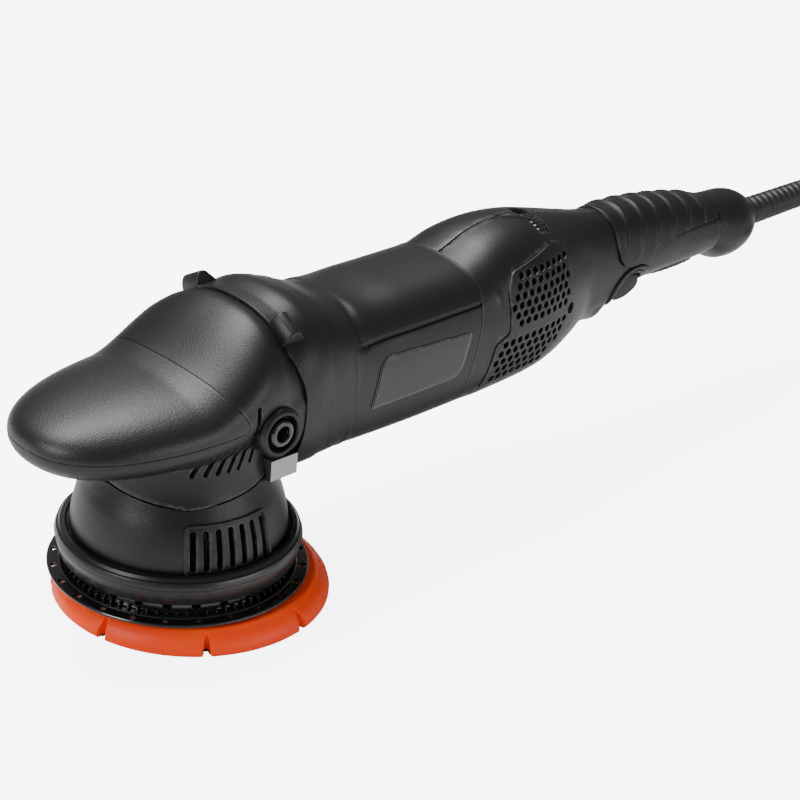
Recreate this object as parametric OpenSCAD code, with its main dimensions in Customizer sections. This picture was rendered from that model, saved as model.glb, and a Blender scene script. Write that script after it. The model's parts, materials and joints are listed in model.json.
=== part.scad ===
// Dual action polisher: a long-necked random orbital machine with a free-spinning pad.
// Origin: on the drive spindle's axis, at the pad's working face. +Z up, +X towards the rear handle.

/* [Pad and orbit] */
// Pad diameter
pad_d = 125; // [120:1:128]
// Orbit radius, half of the throw
orbit_r = 6; // [4:0.5:6]
// Direction of the pad's centre at rest, degrees
orbit_dir = -40; // [-180:5:180]
// Vent ring diameter
vent_ring_d = 117; // [114:1:119]
// Holes around the vent ring
vent_holes = 36; // [12:1:40]
// Bumper ring diameter
bumper_d = 110.6; // [108:0.2:114]

/* [Head] */
// Length of the nose ahead of the spindle
nose_l = 84; // [80:1:90]
// Half width of the head
head_w = 45; // [44:0.5:47]
// Height of the palm cover's parting line
part_z = 95; // [94.5:0.1:95.5]
// Diameter of a side handle boss
boss_d = 23; // [20:1:26]
// Wall of the plastic shells
wall = 3; // [2.6:0.1:3.2]

/* [Motor] */
// Commutator bars
bars = 24; // [12:2:30]
// Fan blades
blades = 11; // [7:1:15]

/* [Rear and handle] */
// Cells across a side cover's grille
grille_cols = 6; // [3:1:6]
// Knurls on the speed dial
dial_knurls = 20; // [8:1:30]

/* [Cord] */
// Cord diameter
cord_d = 8; // [7:0.5:8]
// Mean radius of the stored coil
coil_r = 46; // [44:1:48]
// Layers of turns in the coil
coil_layers = 4; // [3:1:5]

/* [Hidden] */
$fn = 48;
ring_n = 36;
half_n = 18;
skin_n = 10;
hull_gap = 0.3;
fit_gap = 0.02;

pad_x = orbit_r * cos(orbit_dir);
pad_y = orbit_r * sin(orbit_dir);

// Heights up the drive, from the working face
hook_t = 1.4;
pad_top = 11.2;
disc_z = 8;
vent_z = 12.4;
skirt_z = 20;
head_z = 62;
case_z = 43;
chamber_z = 66;
lid_z = 97;
motor_z = 88;

// Bevel gear pair
pinion_teeth = 10;
crown_teeth = 40;
gear_m = 1.1;

// Places along the motor axis
grip_x = 262;
relief_x = 372;
relief_end = 456;

// Rows of the housings: x, half width, lowest z, highest z, squareness
collar_rows = [
  [34, 42.2, 55, 135, 2.4], [44, 41.6, 53, 136, 2.5], [51.9, 40, 53, 134, 2.6]
];
motor_rows = [
  [52.1, 39.6, 53, 133.5, 2.6], [60, 38.4, 53.5, 131, 2.7], [70, 36.6, 54, 127, 2.8],
  [80, 36, 53.5, 124.5, 2.8], [110, 36, 53, 123.5, 2.8], [149.9, 36, 53, 123.5, 2.7]
];
rear_rows = [
  [150.1, 36, 53, 123.5, 2.7], [158, 36, 52, 126, 2.6], [168, 36, 51.5, 130, 2.5],
  [180, 35.5, 51, 132.5, 2.4], [195, 34.5, 51, 133, 2.3], [208, 32, 52, 131.5, 2.3],
  [220, 29, 54, 129, 2.2], [232, 25, 58, 126, 2.2], [242, 21.5, 62, 123.5, 2.2],
  [252, 20, 64, 121, 2.2], [262, 19.2, 66, 119.5, 2.2], [268, 19, 71, 119.2, 2.2],
  [275, 18.8, 74.5, 119, 2.2], [290, 18.2, 75.5, 118, 2.2], [305, 17.8, 76, 116, 2.2],
  [320, 17.3, 76, 113.5, 2.2], [335, 16.8, 76.5, 110, 2.2], [346.8, 16, 77, 107, 2.2]
];
pommel_rows = [
  [347, 16, 76.6, 107, 2.2], [350, 16.6, 74, 107, 2.1], [355, 17.6, 71, 106.6, 2],
  [361, 18, 70, 106, 2], [368, 17.6, 70.4, 105.6, 2], [374, 16, 72, 104, 2],
  [379, 13.4, 74.6, 101.4, 2], [383, 10, 78, 98, 2]
];

// The lead's route from the strain relief to the coil, and from the coil to the plug
lead_pts = [
  [376, 0, 88], [400, 0, 88], [430, 0, 88], [456, 0, 88], [470, 0, 86.5], [483, 0, 82],
  [494, 0, 74], [502, 0, 64], [508, 0, 52], [514, 0, 40], [521, 0, 28], [530, 0, 18],
  [542, 0, 10], [556, 0, 5.5], [570, 0, 4.2]
];
tail_pts = [
  [570, -108, 28.2], [558, -108.6, 27.6], [546, -110.5, 25.6], [534, -113.5, 22.6],
  [522, -117, 19.8], [511, -119.4, 17.8], [500, -120, 17.2]
];
coil_x = 570;
coil_y = -54;

// ---- Curves and lofts ----

function spow(v, p) = sign(v) * pow(abs(v), p);
function smooth(t) = t <= 0 ? 0 : t >= 1 ? 1 : t * t * (3 - 2 * t);
function mid_z(r) = (r[2] + r[3]) / 2;
function half_h(r) = (r[3] - r[2]) / 2;

// One point of a housing's section, at an angle round it and inset by d
function skin_pt(r, a, d) = [
  r[0],
  (r[1] - d) * spow(cos(a), 2 / r[4]),
  mid_z(r) + (half_h(r) - d) * spow(sin(a), 2 / r[4])
];
function ring(r, d) = [for (i = [0:ring_n - 1]) skin_pt(r, 360 * i / ring_n, d)];

// A strip of section from one angle to another, outer side out and inner side back
function strip(r, a0, a1, d0, d1, n, draft = 0) = concat(
  [for (i = [0:n]) skin_pt(r, a0 + (a1 - a0) * i / n, d0)],
  [for (i = [n:-1:0]) skin_pt(r, a0 + draft + (a1 - a0 - 2 * draft) * i / n, d1)]
);

// Angle at which the far wall of a section passes a height
function wall_angle(r, z) = asin(spow((z - mid_z(r)) / half_h(r), r[4] / 2));
// Distance out to the wall at a height
function wall_y(r, z) = r[1] * pow(1 - pow(abs(z - mid_z(r)) / half_h(r), r[4]), 1 / r[4]);

// Row at any x inside a table
function row_at(t, x) =
  let (i = [for (k = [0:len(t) - 2]) if (t[k][0] <= x && x <= t[k + 1][0]) k][0])
  t[i] + (t[i + 1] - t[i]) * (x - t[i][0]) / (t[i + 1][0] - t[i][0]);
function rows_between(t, x0, x1) = concat(
  [row_at(t, x0)], [for (r = t) if (r[0] > x0 && r[0] < x1) r], [row_at(t, x1)]
);

function quads(m, n, wrap) = [
  for (i = [0:m - (wrap ? 1 : 2)], j = [0:n - 1])
    let (a = i * n + j, b = i * n + (j + 1) % n, c = ((i + 1) % m) * n + (j + 1) % n,
         d = ((i + 1) % m) * n + j)
    each [[a, d, c], [a, c, b]]
];

// Solid through a list of rings, closed by flat ends
module loft(rings) {
  n = len(rings[0]);
  m = len(rings);
  last = (m - 1) * n;
  half = floor(n / 2);
  front = concat(
    [for (j = [0:1:half - 2]) [j, j + 1, n - 2 - j, n - 1 - j]],
    n % 2 == 1 ? [[half - 1, half, half + 1]] : []
  );
  back = [for (q = front) [for (k = [len(q) - 1:-1:0]) last + q[k]]];
  polyhedron([for (r = rings) each r], concat(quads(m, n, false), front, back), convexity = 8);
}

// Open-ended tube: outer rings forward, inner rings back
module tube(rows, d0, d1) {
  outer = [for (r = rows) ring(r, d0)];
  inner = [for (i = [len(rows) - 1:-1:0]) ring(rows[i], d1)];
  rings = concat(outer, inner);
  polyhedron([for (r = rings) each r], quads(len(rings), ring_n, true), convexity = 8);
}

module along_x(x, y = 0, z = 0) { translate([x, y, z]) rotate([0, 90, 0]) children(); }
module rod_x(x0, x1, r, y = 0, z = motor_z) { along_x(x0, y, z) cylinder(r = r, h = x1 - x0); }
module pipe_x(x0, x1, r, bore, z = motor_z) {
  along_x(x0, 0, z) difference() {
    cylinder(r = r, h = x1 - x0);
    translate([0, 0, -1]) cylinder(r = bore, h = x1 - x0 + 2);
  }
}
module pipe_z(z0, z1, r, bore) {
  translate([0, 0, z0]) difference() {
    cylinder(r = r, h = z1 - z0);
    translate([0, 0, -1]) cylinder(r = bore, h = z1 - z0 + 2);
  }
}
module at_pad() { translate([pad_x, pad_y, 0]) children(); }
module both_sides() { for (s = [0, 1]) mirror([0, s, 0]) children(); }
module around(n, start = 0) { for (i = [0:n - 1]) rotate([0, 0, start + 360 * i / n]) children(); }

// ---- Head ----

function nose(x) = x >= 0 ? 1 : pow(1 - pow(-x / nose_l, 2.4), 1 / 2.4);
function head_row(x) = [
  x,
  head_w * nose(x) - 2.8 * smooth(x / 34),
  part_z - 19 * pow(nose(x), 0.85) - 21 * smooth((x - 8) / 26),
  part_z + 18 * pow(nose(x), 0.9) + 22 * smooth((x + 22) / 46),
  2.2 + 0.2 * smooth((x + 40) / 74)
];
head_xs = [-83.8, -82.5, -80, -76, -70, -62, -52, -40, -28, -18, -9, 0, 8, 16, 25, 33.9];
inner_xs = [-80.6, -79.5, -77, -73, -67, -59, -49, -38, -28, -18, -9, 0, 8, 16, 25, 35];

module head_outer() { loft([for (x = head_xs) ring(head_row(x), 0)]); }
module head_inner() {
  loft([for (x = inner_xs) ring(head_row(max(x, 0.004 - nose_l)), x < -60 ? wall * 0.8 : wall)]);
}

// Everything above the parting line and ahead of the palm cover's slanted rear edge
module palm_region(g) {
  top = part_z + 60;
  rotate([90, 0, 0]) translate([0, 0, -60]) linear_extrude(120) polygon([
    [-nose_l - 5, part_z + g], [2 - g, part_z + g], [2 - g - 0.6 * 60, top], [-nose_l - 5, top]
  ]);
}
module shroud_room() { translate([0, 0, 20]) cylinder(r = 45.5, h = head_z - 19.8); }

module palm_cover() {
  color([0.13, 0.13, 0.14]) intersection() {
    difference() {
      head_outer();
      head_inner();
    }
    palm_region(0.15);
  }
}

boss_x = 17;
boss_z = 90;
boss_face = 47;
insert_r = 6.5;
thread_r = 3.4;
module boss() {
  rotate([90, 0, 0]) translate([boss_x, boss_z, 34]) cylinder(d = boss_d, h = boss_face - 34);
}
module insert_room() {
  rotate([90, 0, 0]) translate([boss_x, boss_z, 30]) cylinder(r = insert_r + 0.05, h = 30);
}
// Room for the gear case's foot to show at each side
module foot_window() { translate([17, -60, 58]) cube([20, 43.6, 15]); }
module neck() {
  intersection() {
    translate([0, 0, head_z + 0.2]) cylinder(r1 = 40, r2 = 36.4, h = 24);
    translate([-50, -50, 0]) cube([83.9, 100, 100]);
  }
}
module head_slots() {
  for (i = [0:5]) translate([-23 + 5 * i, -60, 79]) rotate([0, 25, 0]) cube([2, 36, 11 - i]);
}
module head_shell() {
  color([0.16, 0.16, 0.17]) difference() {
    union() {
      head_outer();
      neck();
      both_sides() boss();
    }
    head_inner();
    translate([0, 0, head_z - 1]) cylinder(r1 = 35.6, r2 = 32.6, h = 26);
    palm_region(-0.15);
    shroud_room();
    both_sides() insert_room();
    both_sides() foot_window();
    both_sides() head_slots();
  }
}

// Threaded steel bushes that take the side handle
module side_handle_inserts() {
  color([0.12, 0.12, 0.12]) both_sides() rotate([90, 0, 0]) translate([boss_x, boss_z, 35])
    difference() {
      cylinder(r = insert_r, h = boss_face - 35);
      translate([0, 0, -1]) cylinder(r = thread_r, h = 20);
    }
}

// ---- Gear case ----

lid_r = 30;
chamber_r = 26.5;
flange_r = 31.5;
lid_bolt_r = 28.2;
module gear_case() {
  color([0.75, 0.75, 0.76]) difference() {
    union() {
      translate([0, 0, case_z]) cylinder(r = 24, h = 20);
      translate([0, 0, head_z]) cylinder(r = 35, h = 4);
      translate([0, 0, chamber_z - 0.5]) cylinder(r = lid_r, h = lid_z - chamber_z + 0.5);
      rod_x(22, 45, 18);
      rod_x(44, 49.8, flange_r);
      both_sides() translate([18.5, -38.5, head_z + 0.6]) cube([15.3, 19, 9.8]);
    }
    translate([0, 0, lid_z]) cylinder(r = lid_r + fit_gap, h = 10);
    translate([0, 0, case_z - 1]) cylinder(r = 8, h = 30);
    translate([0, 0, case_z - 1]) cylinder(r = 16 + fit_gap, h = 12);
    translate([0, 0, 58]) cylinder(r = 14 + fit_gap, h = 20);
    translate([0, 0, chamber_z]) cylinder(r = chamber_r, h = 40);
    rod_x(0, 40, 8.5);
    rod_x(37.9, 60, 13 + fit_gap);
    translate([0, 0, lid_z - 8]) around(4, 45) translate([lid_bolt_r, 0, 0]) cylinder(r = 1.3, h = 20);
    translate([0, 0, head_z - 1]) around(4, 45) translate([31, 0, 0]) cylinder(r = 2.03, h = 10);
    motor_bolt_places() cylinder(r = 2.03, h = 30);
  }
}
module motor_bolt_places() {
  along_x(40, 0, motor_z) around(4, 45) translate([27, 0, 0]) children();
}
module gear_case_lid() {
  color([0.7, 0.7, 0.71]) translate([0, 0, lid_z]) difference() {
    union() {
      cylinder(r = lid_r, h = 3);
      cylinder(r = 9, h = 5);
    }
    translate([0, 0, -1]) around(4, 45) translate([lid_bolt_r, 0, 0]) cylinder(r = 1.3, h = 9);
  }
}
module screw(head_r, head_h, r, l) {
  difference() {
    cylinder(r = head_r, h = head_h);
    translate([0, 0, -1]) cylinder(r = head_r * 0.5, h = head_h * 0.5 + 1, $fn = 6);
  }
  translate([0, 0, head_h - 0.1]) cylinder(r = r, h = l + 0.1);
}
module lid_screws() {
  color([0.5, 0.5, 0.52]) around(4, 45) translate([lid_bolt_r, 0, lid_z + 4.6]) rotate([180, 0, 0])
    screw(1.75, 1.6, 1.25, 9);
}
module spindle_bearings() {
  color([0.6, 0.6, 0.62]) {
    bearing_z(44, 10, 16, 6);
    bearing_z(58, 8, 14, 6);
  }
}
// Ball bearing as one ring with its shield grooves
module bearing_z(z, h, r, bore) {
  span = r - bore;
  translate([0, 0, z]) rotate_extrude() polygon([
    [bore + fit_gap, 0], [bore + 0.3 * span, 0], [bore + 0.3 * span, 0.6], [r - 0.3 * span, 0.6],
    [r - 0.3 * span, 0], [r, 0], [r, h], [r - 0.3 * span, h], [r - 0.3 * span, h - 0.6],
    [bore + 0.3 * span, h - 0.6], [bore + 0.3 * span, h], [bore + fit_gap, h]
  ]);
}
module bearing_retainer() {
  color([0.45, 0.45, 0.47]) difference() {
    pipe_z(40.6, case_z, 22, 9);
    around(3) translate([19, 0, 40]) cylinder(r = 1.6, h = 5);
  }
}

// ---- Shroud, bumper and vent ring ----

module shroud_slots() {
  for (i = [-3:3]) rotate([0, 0, -96 + 6.6 * i]) translate([36, -1.1, 27]) cube([20, 2.2, 19]);
}
module shroud() {
  color([0.14, 0.14, 0.15]) difference() {
    rotate_extrude() polygon([
      [46, skirt_z], [48.6, skirt_z], [48.6, 34], [47.6, 42], [45.2, 51], [42, 58], [40.2, head_z],
      [27, head_z], [27, 59.5], [37.5, 59.5], [40, 56], [42.6, 50], [45, 41], [46, 34]
    ]);
    shroud_slots();
    rotate([0, 0, 12]) mirror([0, 1, 0]) shroud_slots();
    around(4, 45) translate([31, 0, 50]) cylinder(r = 2.05, h = 20);
  }
}
module shroud_screws() {
  color([0.5, 0.5, 0.52]) around(4, 45) translate([31, 0, 56]) screw(3.5, 3.5, 2, 5.9);
}
module bumper_ring() {
  r = bumper_d / 2;
  color([0.2, 0.2, 0.21]) rotate_extrude() polygon([
    [48.65, 20.4], [r - 2.3, 20.4], [r, 29.6], [r - 2.8, 34], [50.4, 34], [49.8, 33.2], [48.65, 33.2]
  ]);
}
module vent_ring() {
  r = vent_ring_d / 2;
  color([0.1, 0.1, 0.1]) difference() {
    rotate_extrude() polygon([
      [44.5, vent_z], [r, vent_z], [r, vent_z + 1.6], [48, vent_z + 1.6], [48, skirt_z - 0.05],
      [46.2, skirt_z - 0.05], [46.2, vent_z + 1.6], [44.5, vent_z + 1.6]
    ]);
    around(vent_holes) translate([55, 0, vent_z - 1]) cylinder(r = 1.3, h = 4);
    around(24) translate([45.5, -1.5, 15.5]) cube([4, 3, 3.2]);
  }
}

// ---- Motor ----

module motor_collar() {
  color([0.15, 0.15, 0.16]) difference() {
    union() {
      tube(collar_rows, 0, wall);
      loft([for (x = [49.9, 51.8]) ring(row_at(collar_rows, x), wall * 0.6)]);
      both_sides() translate([35, 17, 124]) rotate([-35, 0, 0]) cube([10, 11, 9]);
    }
    rod_x(45, 60, 20);
    motor_bolt_places() cylinder(r = 2.1, h = 30);
    shroud_room();
  }
}
module motor_screws() {
  color([0.5, 0.5, 0.52]) along_x(55.4, 0, motor_z) around(4, 45) translate([27, 0, 0])
    rotate([180, 0, 0]) screw(3.5, 3.5, 2, 11);
}
module motor_housing() { color([0.17, 0.17, 0.18]) tube(motor_rows, 0, wall); }

// Blank name plates on the sides of the motor housing
module label_plates() {
  rows = rows_between(motor_rows, 81, 142);
  color([0.24, 0.24, 0.25]) both_sides() loft([
    for (r = rows)
      let (u = (r[0] - 81) / 61, a0 = wall_angle(r, 78 + 4 * u), a1 = wall_angle(r, 98 + 5 * u))
      strip(r, a0, a1, -0.6, -0.05, skin_n)
  ]);
}

core_x = 92;
core_l = 50;
module field_core() {
  color([0.42, 0.42, 0.44]) difference() {
    rod_x(core_x, core_x + core_l, 31.4);
    rod_x(core_x - 1, core_x + core_l + 1, 17.6);
    for (s = [-1, 1]) translate([core_x - 1, s * 22 - 3, motor_z - 14]) cube([core_l + 2, 6, 28]);
  }
}
module field_windings() {
  color([0.72, 0.38, 0.16]) for (x = [core_x - 9, core_x + core_l + 0.2])
    along_x(x, 0, motor_z) for (a = [20, 200]) rotate([0, 0, a])
      rotate_extrude(angle = 140) translate([19.5, 0]) square([9, 8.8]);
}
module air_baffle() {
  color([0.25, 0.25, 0.26]) difference() {
    loft([for (x = [75.5, 78.5]) ring(row_at(motor_rows, x), wall + 0.15)]);
    rod_x(70, 82, 24);
  }
}
module bearing_x(x, h, r, bore) {
  translate([x, 0, motor_z]) rotate([0, 90, 0]) bearing_z(0, h, r, bore);
}
module armature_bearings() {
  color([0.6, 0.6, 0.62]) {
    bearing_x(38, 8, 13, 5);
    bearing_x(178, 7, 11, 4);
  }
}
brush_x = 160;
module brush_holders() {
  color([0.78, 0.62, 0.3]) both_sides() translate([brush_x, 14, motor_z - 5.5]) difference() {
    cube([10, 17, 11]);
    translate([1.5, -1, 1.5]) cube([7, 17, 8]);
  }
}
module carbon_brushes() {
  color([0.1, 0.1, 0.11]) both_sides() translate([brush_x + 1.6, 11.7, motor_z - 3.9])
    cube([6.8, 11, 7.8]);
}

// Tube of radius r swept along points, each ring square to the path
function unit(v) = v / norm(v);
function path_dir(p, i) = unit(p[min(i + 1, len(p) - 1)] - p[max(i - 1, 0)]);
function path_ring(c, t, r, n) =
  let (side = unit(cross(t, abs(t[2]) < 0.9 ? [0, 0, 1] : [0, 1, 0])), up = cross(side, t))
  [for (k = [0:n - 1]) c + r * (side * cos(360 * k / n) - up * sin(360 * k / n))];
module sweep(p, r, n) {
  loft([for (i = [0:len(p) - 1]) path_ring(p[i], path_dir(p, i), r, n)]);
}
// Smooth curve through a list of points, m steps to each stretch
function spline_pt(a, b, c, d, t) =
  ((b * 2) + (c - a) * t + (a * 2 - b * 5 + c * 4 - d) * t * t + (b * 3 - a - c * 3 + d) * t * t * t) / 2;
function spline(p, m) = concat(
  [for (i = [0:len(p) - 2], k = [0:m - 1])
    spline_pt(p[max(i - 1, 0)], p[i], p[i + 1], p[min(i + 2, len(p) - 1)], k / m)],
  [p[len(p) - 1]]
);

module coil_spring(r, wire, turns, l) {
  steps = 10;
  sweep([for (i = [0:turns * steps])
    [r * cos(360 * i / steps), r * sin(360 * i / steps), wire + (l - 2 * wire) * i / (turns * steps)]],
    wire, 5);
}
module brush_springs() {
  color([0.55, 0.55, 0.57]) both_sides() translate([brush_x + 5, 22.8, motor_z]) rotate([-90, 0, 0])
    coil_spring(2.6, 0.35, 5, 7);
}

// ---- Armature ----

module armature_shaft() {
  color([0.66, 0.66, 0.68]) union() {
    rod_x(24, 46.5, 5);
    rod_x(46, 178, 5.6);
    rod_x(177.5, 186, 4);
  }
}
module armature_core() {
  color([0.4, 0.4, 0.42]) difference() {
    rod_x(core_x, core_x + core_l, 17);
    rod_x(core_x - 1, core_x + core_l + 1, 5.6 + fit_gap);
    along_x(core_x - 1, 0, motor_z) around(12) translate([13.5, -0.7, 0]) cube([6, 1.4, core_l + 2]);
  }
}
module armature_windings() {
  color([0.75, 0.42, 0.18]) for (x = [core_x - 8, core_x + core_l + 0.1])
    pipe_x(x, x + 7.9, 14.5, 5.6 + fit_gap);
}
module commutator() {
  color([0.72, 0.45, 0.25]) difference() {
    pipe_x(156, 172, 11.5, 5.6 + fit_gap);
    along_x(155, 0, motor_z) around(bars) translate([10.4, -0.3, 0]) cube([3, 0.6, 14]);
  }
}
module fan() {
  color([0.2, 0.2, 0.21]) union() {
    pipe_x(58, 72, 8, 5.6 + fit_gap);
    pipe_x(69.5, 72, 28, 7);
    along_x(59, 0, motor_z) around(blades) translate([7, 0, 0]) rotate([0, 0, 20])
      translate([0, -0.8, 0]) cube([19, 1.6, 11]);
  }
}

// ---- Bevel gears: both cones meet at the crossing of the two axes ----

cone_l = gear_m * sqrt(pow(crown_teeth, 2) + pow(pinion_teeth, 2)) / 2;
face_w = 7;
pressure = 20;
backlash = 0.32;
function inv_deg(a) = tan(a) * 180 / PI - a;
// Half angle of a tooth on the back cone at radius rho, for pitch radius rv
function tooth_half(rho, rv) =
  let (rb = rv * cos(pressure), a = rho <= rb ? 0 : acos(rb / rho))
  (PI * gear_m / 4 - backlash / 2) / rv * 180 / PI + inv_deg(pressure) - inv_deg(a);
function tooth_hs(add) = [-1.2, -0.7, -0.1, 0.5, add] * gear_m;
// Tooth section scaled by k towards the apex; the cone opens along +Z
function tooth_ring(teeth, cone, k, add) =
  let (r0 = cone_l * sin(cone), z0 = cone_l * cos(cone), rv = r0 / cos(cone), hs = tooth_hs(add))
  [for (s = [1, -1], i = [0:4])
    let (h = s > 0 ? hs[i] : hs[4 - i], r = r0 + h * cos(cone),
         w = (rv + h) * tooth_half(rv + h, rv) * PI / 180, a = s * w / r * 180 / PI)
    [k * r * cos(a), k * r * sin(a), k * (z0 - h * sin(cone))]];
module tooth(teeth, cone, add) {
  k = 1 - face_w / cone_l;
  outer = tooth_ring(teeth, cone, 1, add);
  inner = tooth_ring(teeth, cone, k, add);
  n = len(outer);
  polyhedron(concat(outer, inner), concat(
    [for (j = [0:n - 1]) each [[j, n + (j + 1) % n, (j + 1) % n], [j, n + j, n + (j + 1) % n]]],
    [[for (j = [0:n - 1]) j], [for (j = [n - 1:-1:0]) n + j]]
  ));
}
crown_cone = atan(crown_teeth / pinion_teeth);
pinion_cone = 90 - crown_cone;
root_h = 1.1;
// Root line point on a gear's cone: k = 1 outside
function root_pt(cone, k) = [
  k * (cone_l * sin(cone) - root_h * gear_m * cos(cone)),
  k * (cone_l * cos(cone) + root_h * gear_m * sin(cone))
];
module crown_gear() {
  k = 1 - face_w / cone_l;
  o = root_pt(crown_cone, 1);
  i = root_pt(crown_cone, k);
  color([0.5, 0.5, 0.52]) translate([0, 0, motor_z]) rotate([180, 0, 0]) union() {
    rotate_extrude() polygon([
      [6 + fit_gap, 5], [8.5, 5], [8.5, 8], [i[0] - 1.5, 8], [i[0], i[1]], [o[0], o[1]],
      [o[0], 12], [10, 12], [10, 20.9], [6 + fit_gap, 20.9]
    ]);
    around(crown_teeth) tooth(crown_teeth, crown_cone, 0.8);
  }
}
module pinion() {
  k = 1 - face_w / cone_l;
  o = root_pt(pinion_cone, 1);
  i = root_pt(pinion_cone, k);
  color([0.48, 0.48, 0.5]) along_x(0, 0, motor_z) union() {
    rotate_extrude() polygon([[0, i[1]], [i[0], i[1]], [o[0], o[1]], [4.4, 23.95], [0, 23.95]]);
    around(pinion_teeth, 180 / pinion_teeth) tooth(pinion_teeth, pinion_cone, 0.8);
  }
}

// ---- Drive spindle and pad ----

module spindle() {
  color([0.55, 0.55, 0.57]) difference() {
    union() {
      at_pad() translate([0, 0, 19]) cylinder(r = 16.4, h = 19);
      translate([0, 0, 37.9]) cylinder(r = 8, h = case_z - 36.95);
      translate([0, 0, 43.9]) cylinder(r = 6, h = 40.6);
    }
    at_pad() translate([0, 0, 18]) cylinder(r = 13, h = 17.6);
  }
}
module counterweight() {
  color([0.45, 0.44, 0.43]) rotate([0, 0, orbit_dir + 90]) difference() {
    union() {
      translate([0, 0, 38.05]) rotate_extrude(angle = 180) translate([8 + fit_gap, 0])
        square([32, 2.2]);
      rotate([0, 0, 20]) translate([0, 0, 21]) rotate_extrude(angle = 140) translate([23.5, 0])
        square([16.5, 17.2]);
    }
    rotate([0, 0, 90]) for (a = [-30, 30]) rotate([0, 0, a]) translate([32, 0, 0])
      cylinder(r = 2, h = 60);
  }
}
module eccentric_bearings() {
  color([0.6, 0.6, 0.62]) at_pad() {
    bearing_z(20, 7, 12.98, 7.5);
    bearing_z(27.6, 7, 12.98, 7.5);
  }
}
module pad_spindle() {
  color([0.58, 0.58, 0.6]) at_pad() difference() {
    union() {
      translate([0, 0, 14.5]) cylinder(r = 12, h = 3.8);
      translate([0, 0, 18]) cylinder(r = 7.48, h = 16.6);
    }
    translate([0, 0, 14]) cylinder(r = 4 + fit_gap, h = 13);
  }
}
module backing_disc() {
  color([0.2, 0.2, 0.2]) at_pad() difference() {
    union() {
      translate([0, 0, disc_z]) cylinder(r = 42, h = pad_top - disc_z);
      translate([0, 0, disc_z]) cylinder(r = 14, h = 14.5 - disc_z);
    }
    translate([0, 0, 7]) cylinder(r = 4.1, h = 12);
    around(8, 22.5) translate([30, 0, 7]) cylinder(r = 3, h = 8);
  }
}
module pad_foam() {
  r = pad_d / 2;
  color([0.93, 0.25, 0.1]) at_pad() difference() {
    rotate_extrude() polygon([
      [8, hook_t], [r - 0.5, hook_t], [r, 2], [r, 3.2], [r - 2.6, 7.6], [r - 5.5, 9.6], [r - 7, pad_top],
      [42.05, pad_top], [42.05, disc_z], [8, disc_z]
    ]);
    around(8, 12) translate([r - 4.5, -2, 0]) cube([10, 4, 20]);
  }
}
module hook_face() {
  color([0.18, 0.18, 0.18]) at_pad() difference() {
    cylinder(r = pad_d / 2 - 0.8, h = hook_t);
    translate([0, 0, -1]) cylinder(r = 4, h = 4);
    around(8, 12) translate([pad_d / 2 - 4.5, -2, -1]) cube([10, 4, 20]);
  }
}
module pad_bolt() {
  color([0.4, 0.4, 0.42]) at_pad() translate([0, 0, 4]) screw(6.5, 4, 4, 17);
}

// ---- Rear housing and handle ----

cover_x0 = 172;
cover_x1 = 216;
cover_z0 = 66;
cover_screw_x = 213.6;
cover_z1 = 118;
dial_x = 207;
dial_y = -6;
dial_z = 117.5;
dial_r = 14;
trigger_pivot = [294, 84];
pivot_r = 2.2;

handle_bolts = [[238, 112], [252, 78], [300, 85], [332, 86]];
// Screw posts and the paddle's pivot socket inside one half of the handle
module posts() {
  for (p = handle_bolts) rotate([90, 0, 0]) translate([p[0], p[1], 0.05])
    cylinder(r = 3.6, h = wall_y(row_at(rear_rows, p[0]), p[1]) - 1.8);
  rotate([90, 0, 0]) translate([trigger_pivot[0], trigger_pivot[1], 8.9]) cylinder(r = 4, h = 4.6);
}
module half_shell() {
  union() {
    posts();
    loft([for (r = rear_rows) strip(r, 90, 270, 0, wall, half_n, 0.05)]);
    difference() {
      loft([for (x = [178.2, 184.8]) let (r = row_at(rear_rows, x))
        [for (i = [0:half_n]) skin_pt(r, 90 + 180 * i / half_n, wall * 0.6)]]);
      rod_x(170, 190, 11 + fit_gap);
      translate([160, -20, 100]) cube([40, 30, 50]);
    }
  }
}
// Round hole across the handle, reaching y on both sides
module screw_room_y(x, z, r, y) {
  translate([x, 0, z]) rotate([90, 0, 0]) translate([0, 0, -y]) cylinder(r = r, h = 2 * y);
}
module rear_cuts() {
  for (s = [-1, 1]) translate([cover_x0, s > 0 ? 16 : -46, cover_z0])
    cube([cover_x1 - cover_x0, 30, cover_z1 - cover_z0]);
  translate([dial_x - 4, dial_y - 11, 100]) cube([8, 22, 40]);
  along_x(dial_x - 4, dial_y, dial_z) cylinder(r = dial_r + 0.7, h = 8);
  translate([267, -9.4, 55]) cube([27.6, 18.8, 29.5]);
  translate([267, -30, 55]) cube([22.6, 60, 29.8]);
  screw_room_y(trigger_pivot[0], trigger_pivot[1], pivot_r + 0.05, 12.4);
}
module rear_housing_right() {
  color([0.16, 0.16, 0.17]) difference() {
    half_shell();
    rear_cuts();
    for (p = handle_bolts) screw_room_y(p[0], p[1], 1.55, 12);
  }
}
module rear_housing_left() {
  color([0.16, 0.16, 0.17]) difference() {
    mirror([0, 1, 0]) half_shell();
    rear_cuts();
    for (p = handle_bolts) {
      screw_room_y(p[0], p[1], 1.55, 30);
      translate([p[0], bolt_seat(p), p[1]]) rotate([-90, 0, 0]) cylinder(r = 3.1, h = 20);
    }
  }
}
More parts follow.
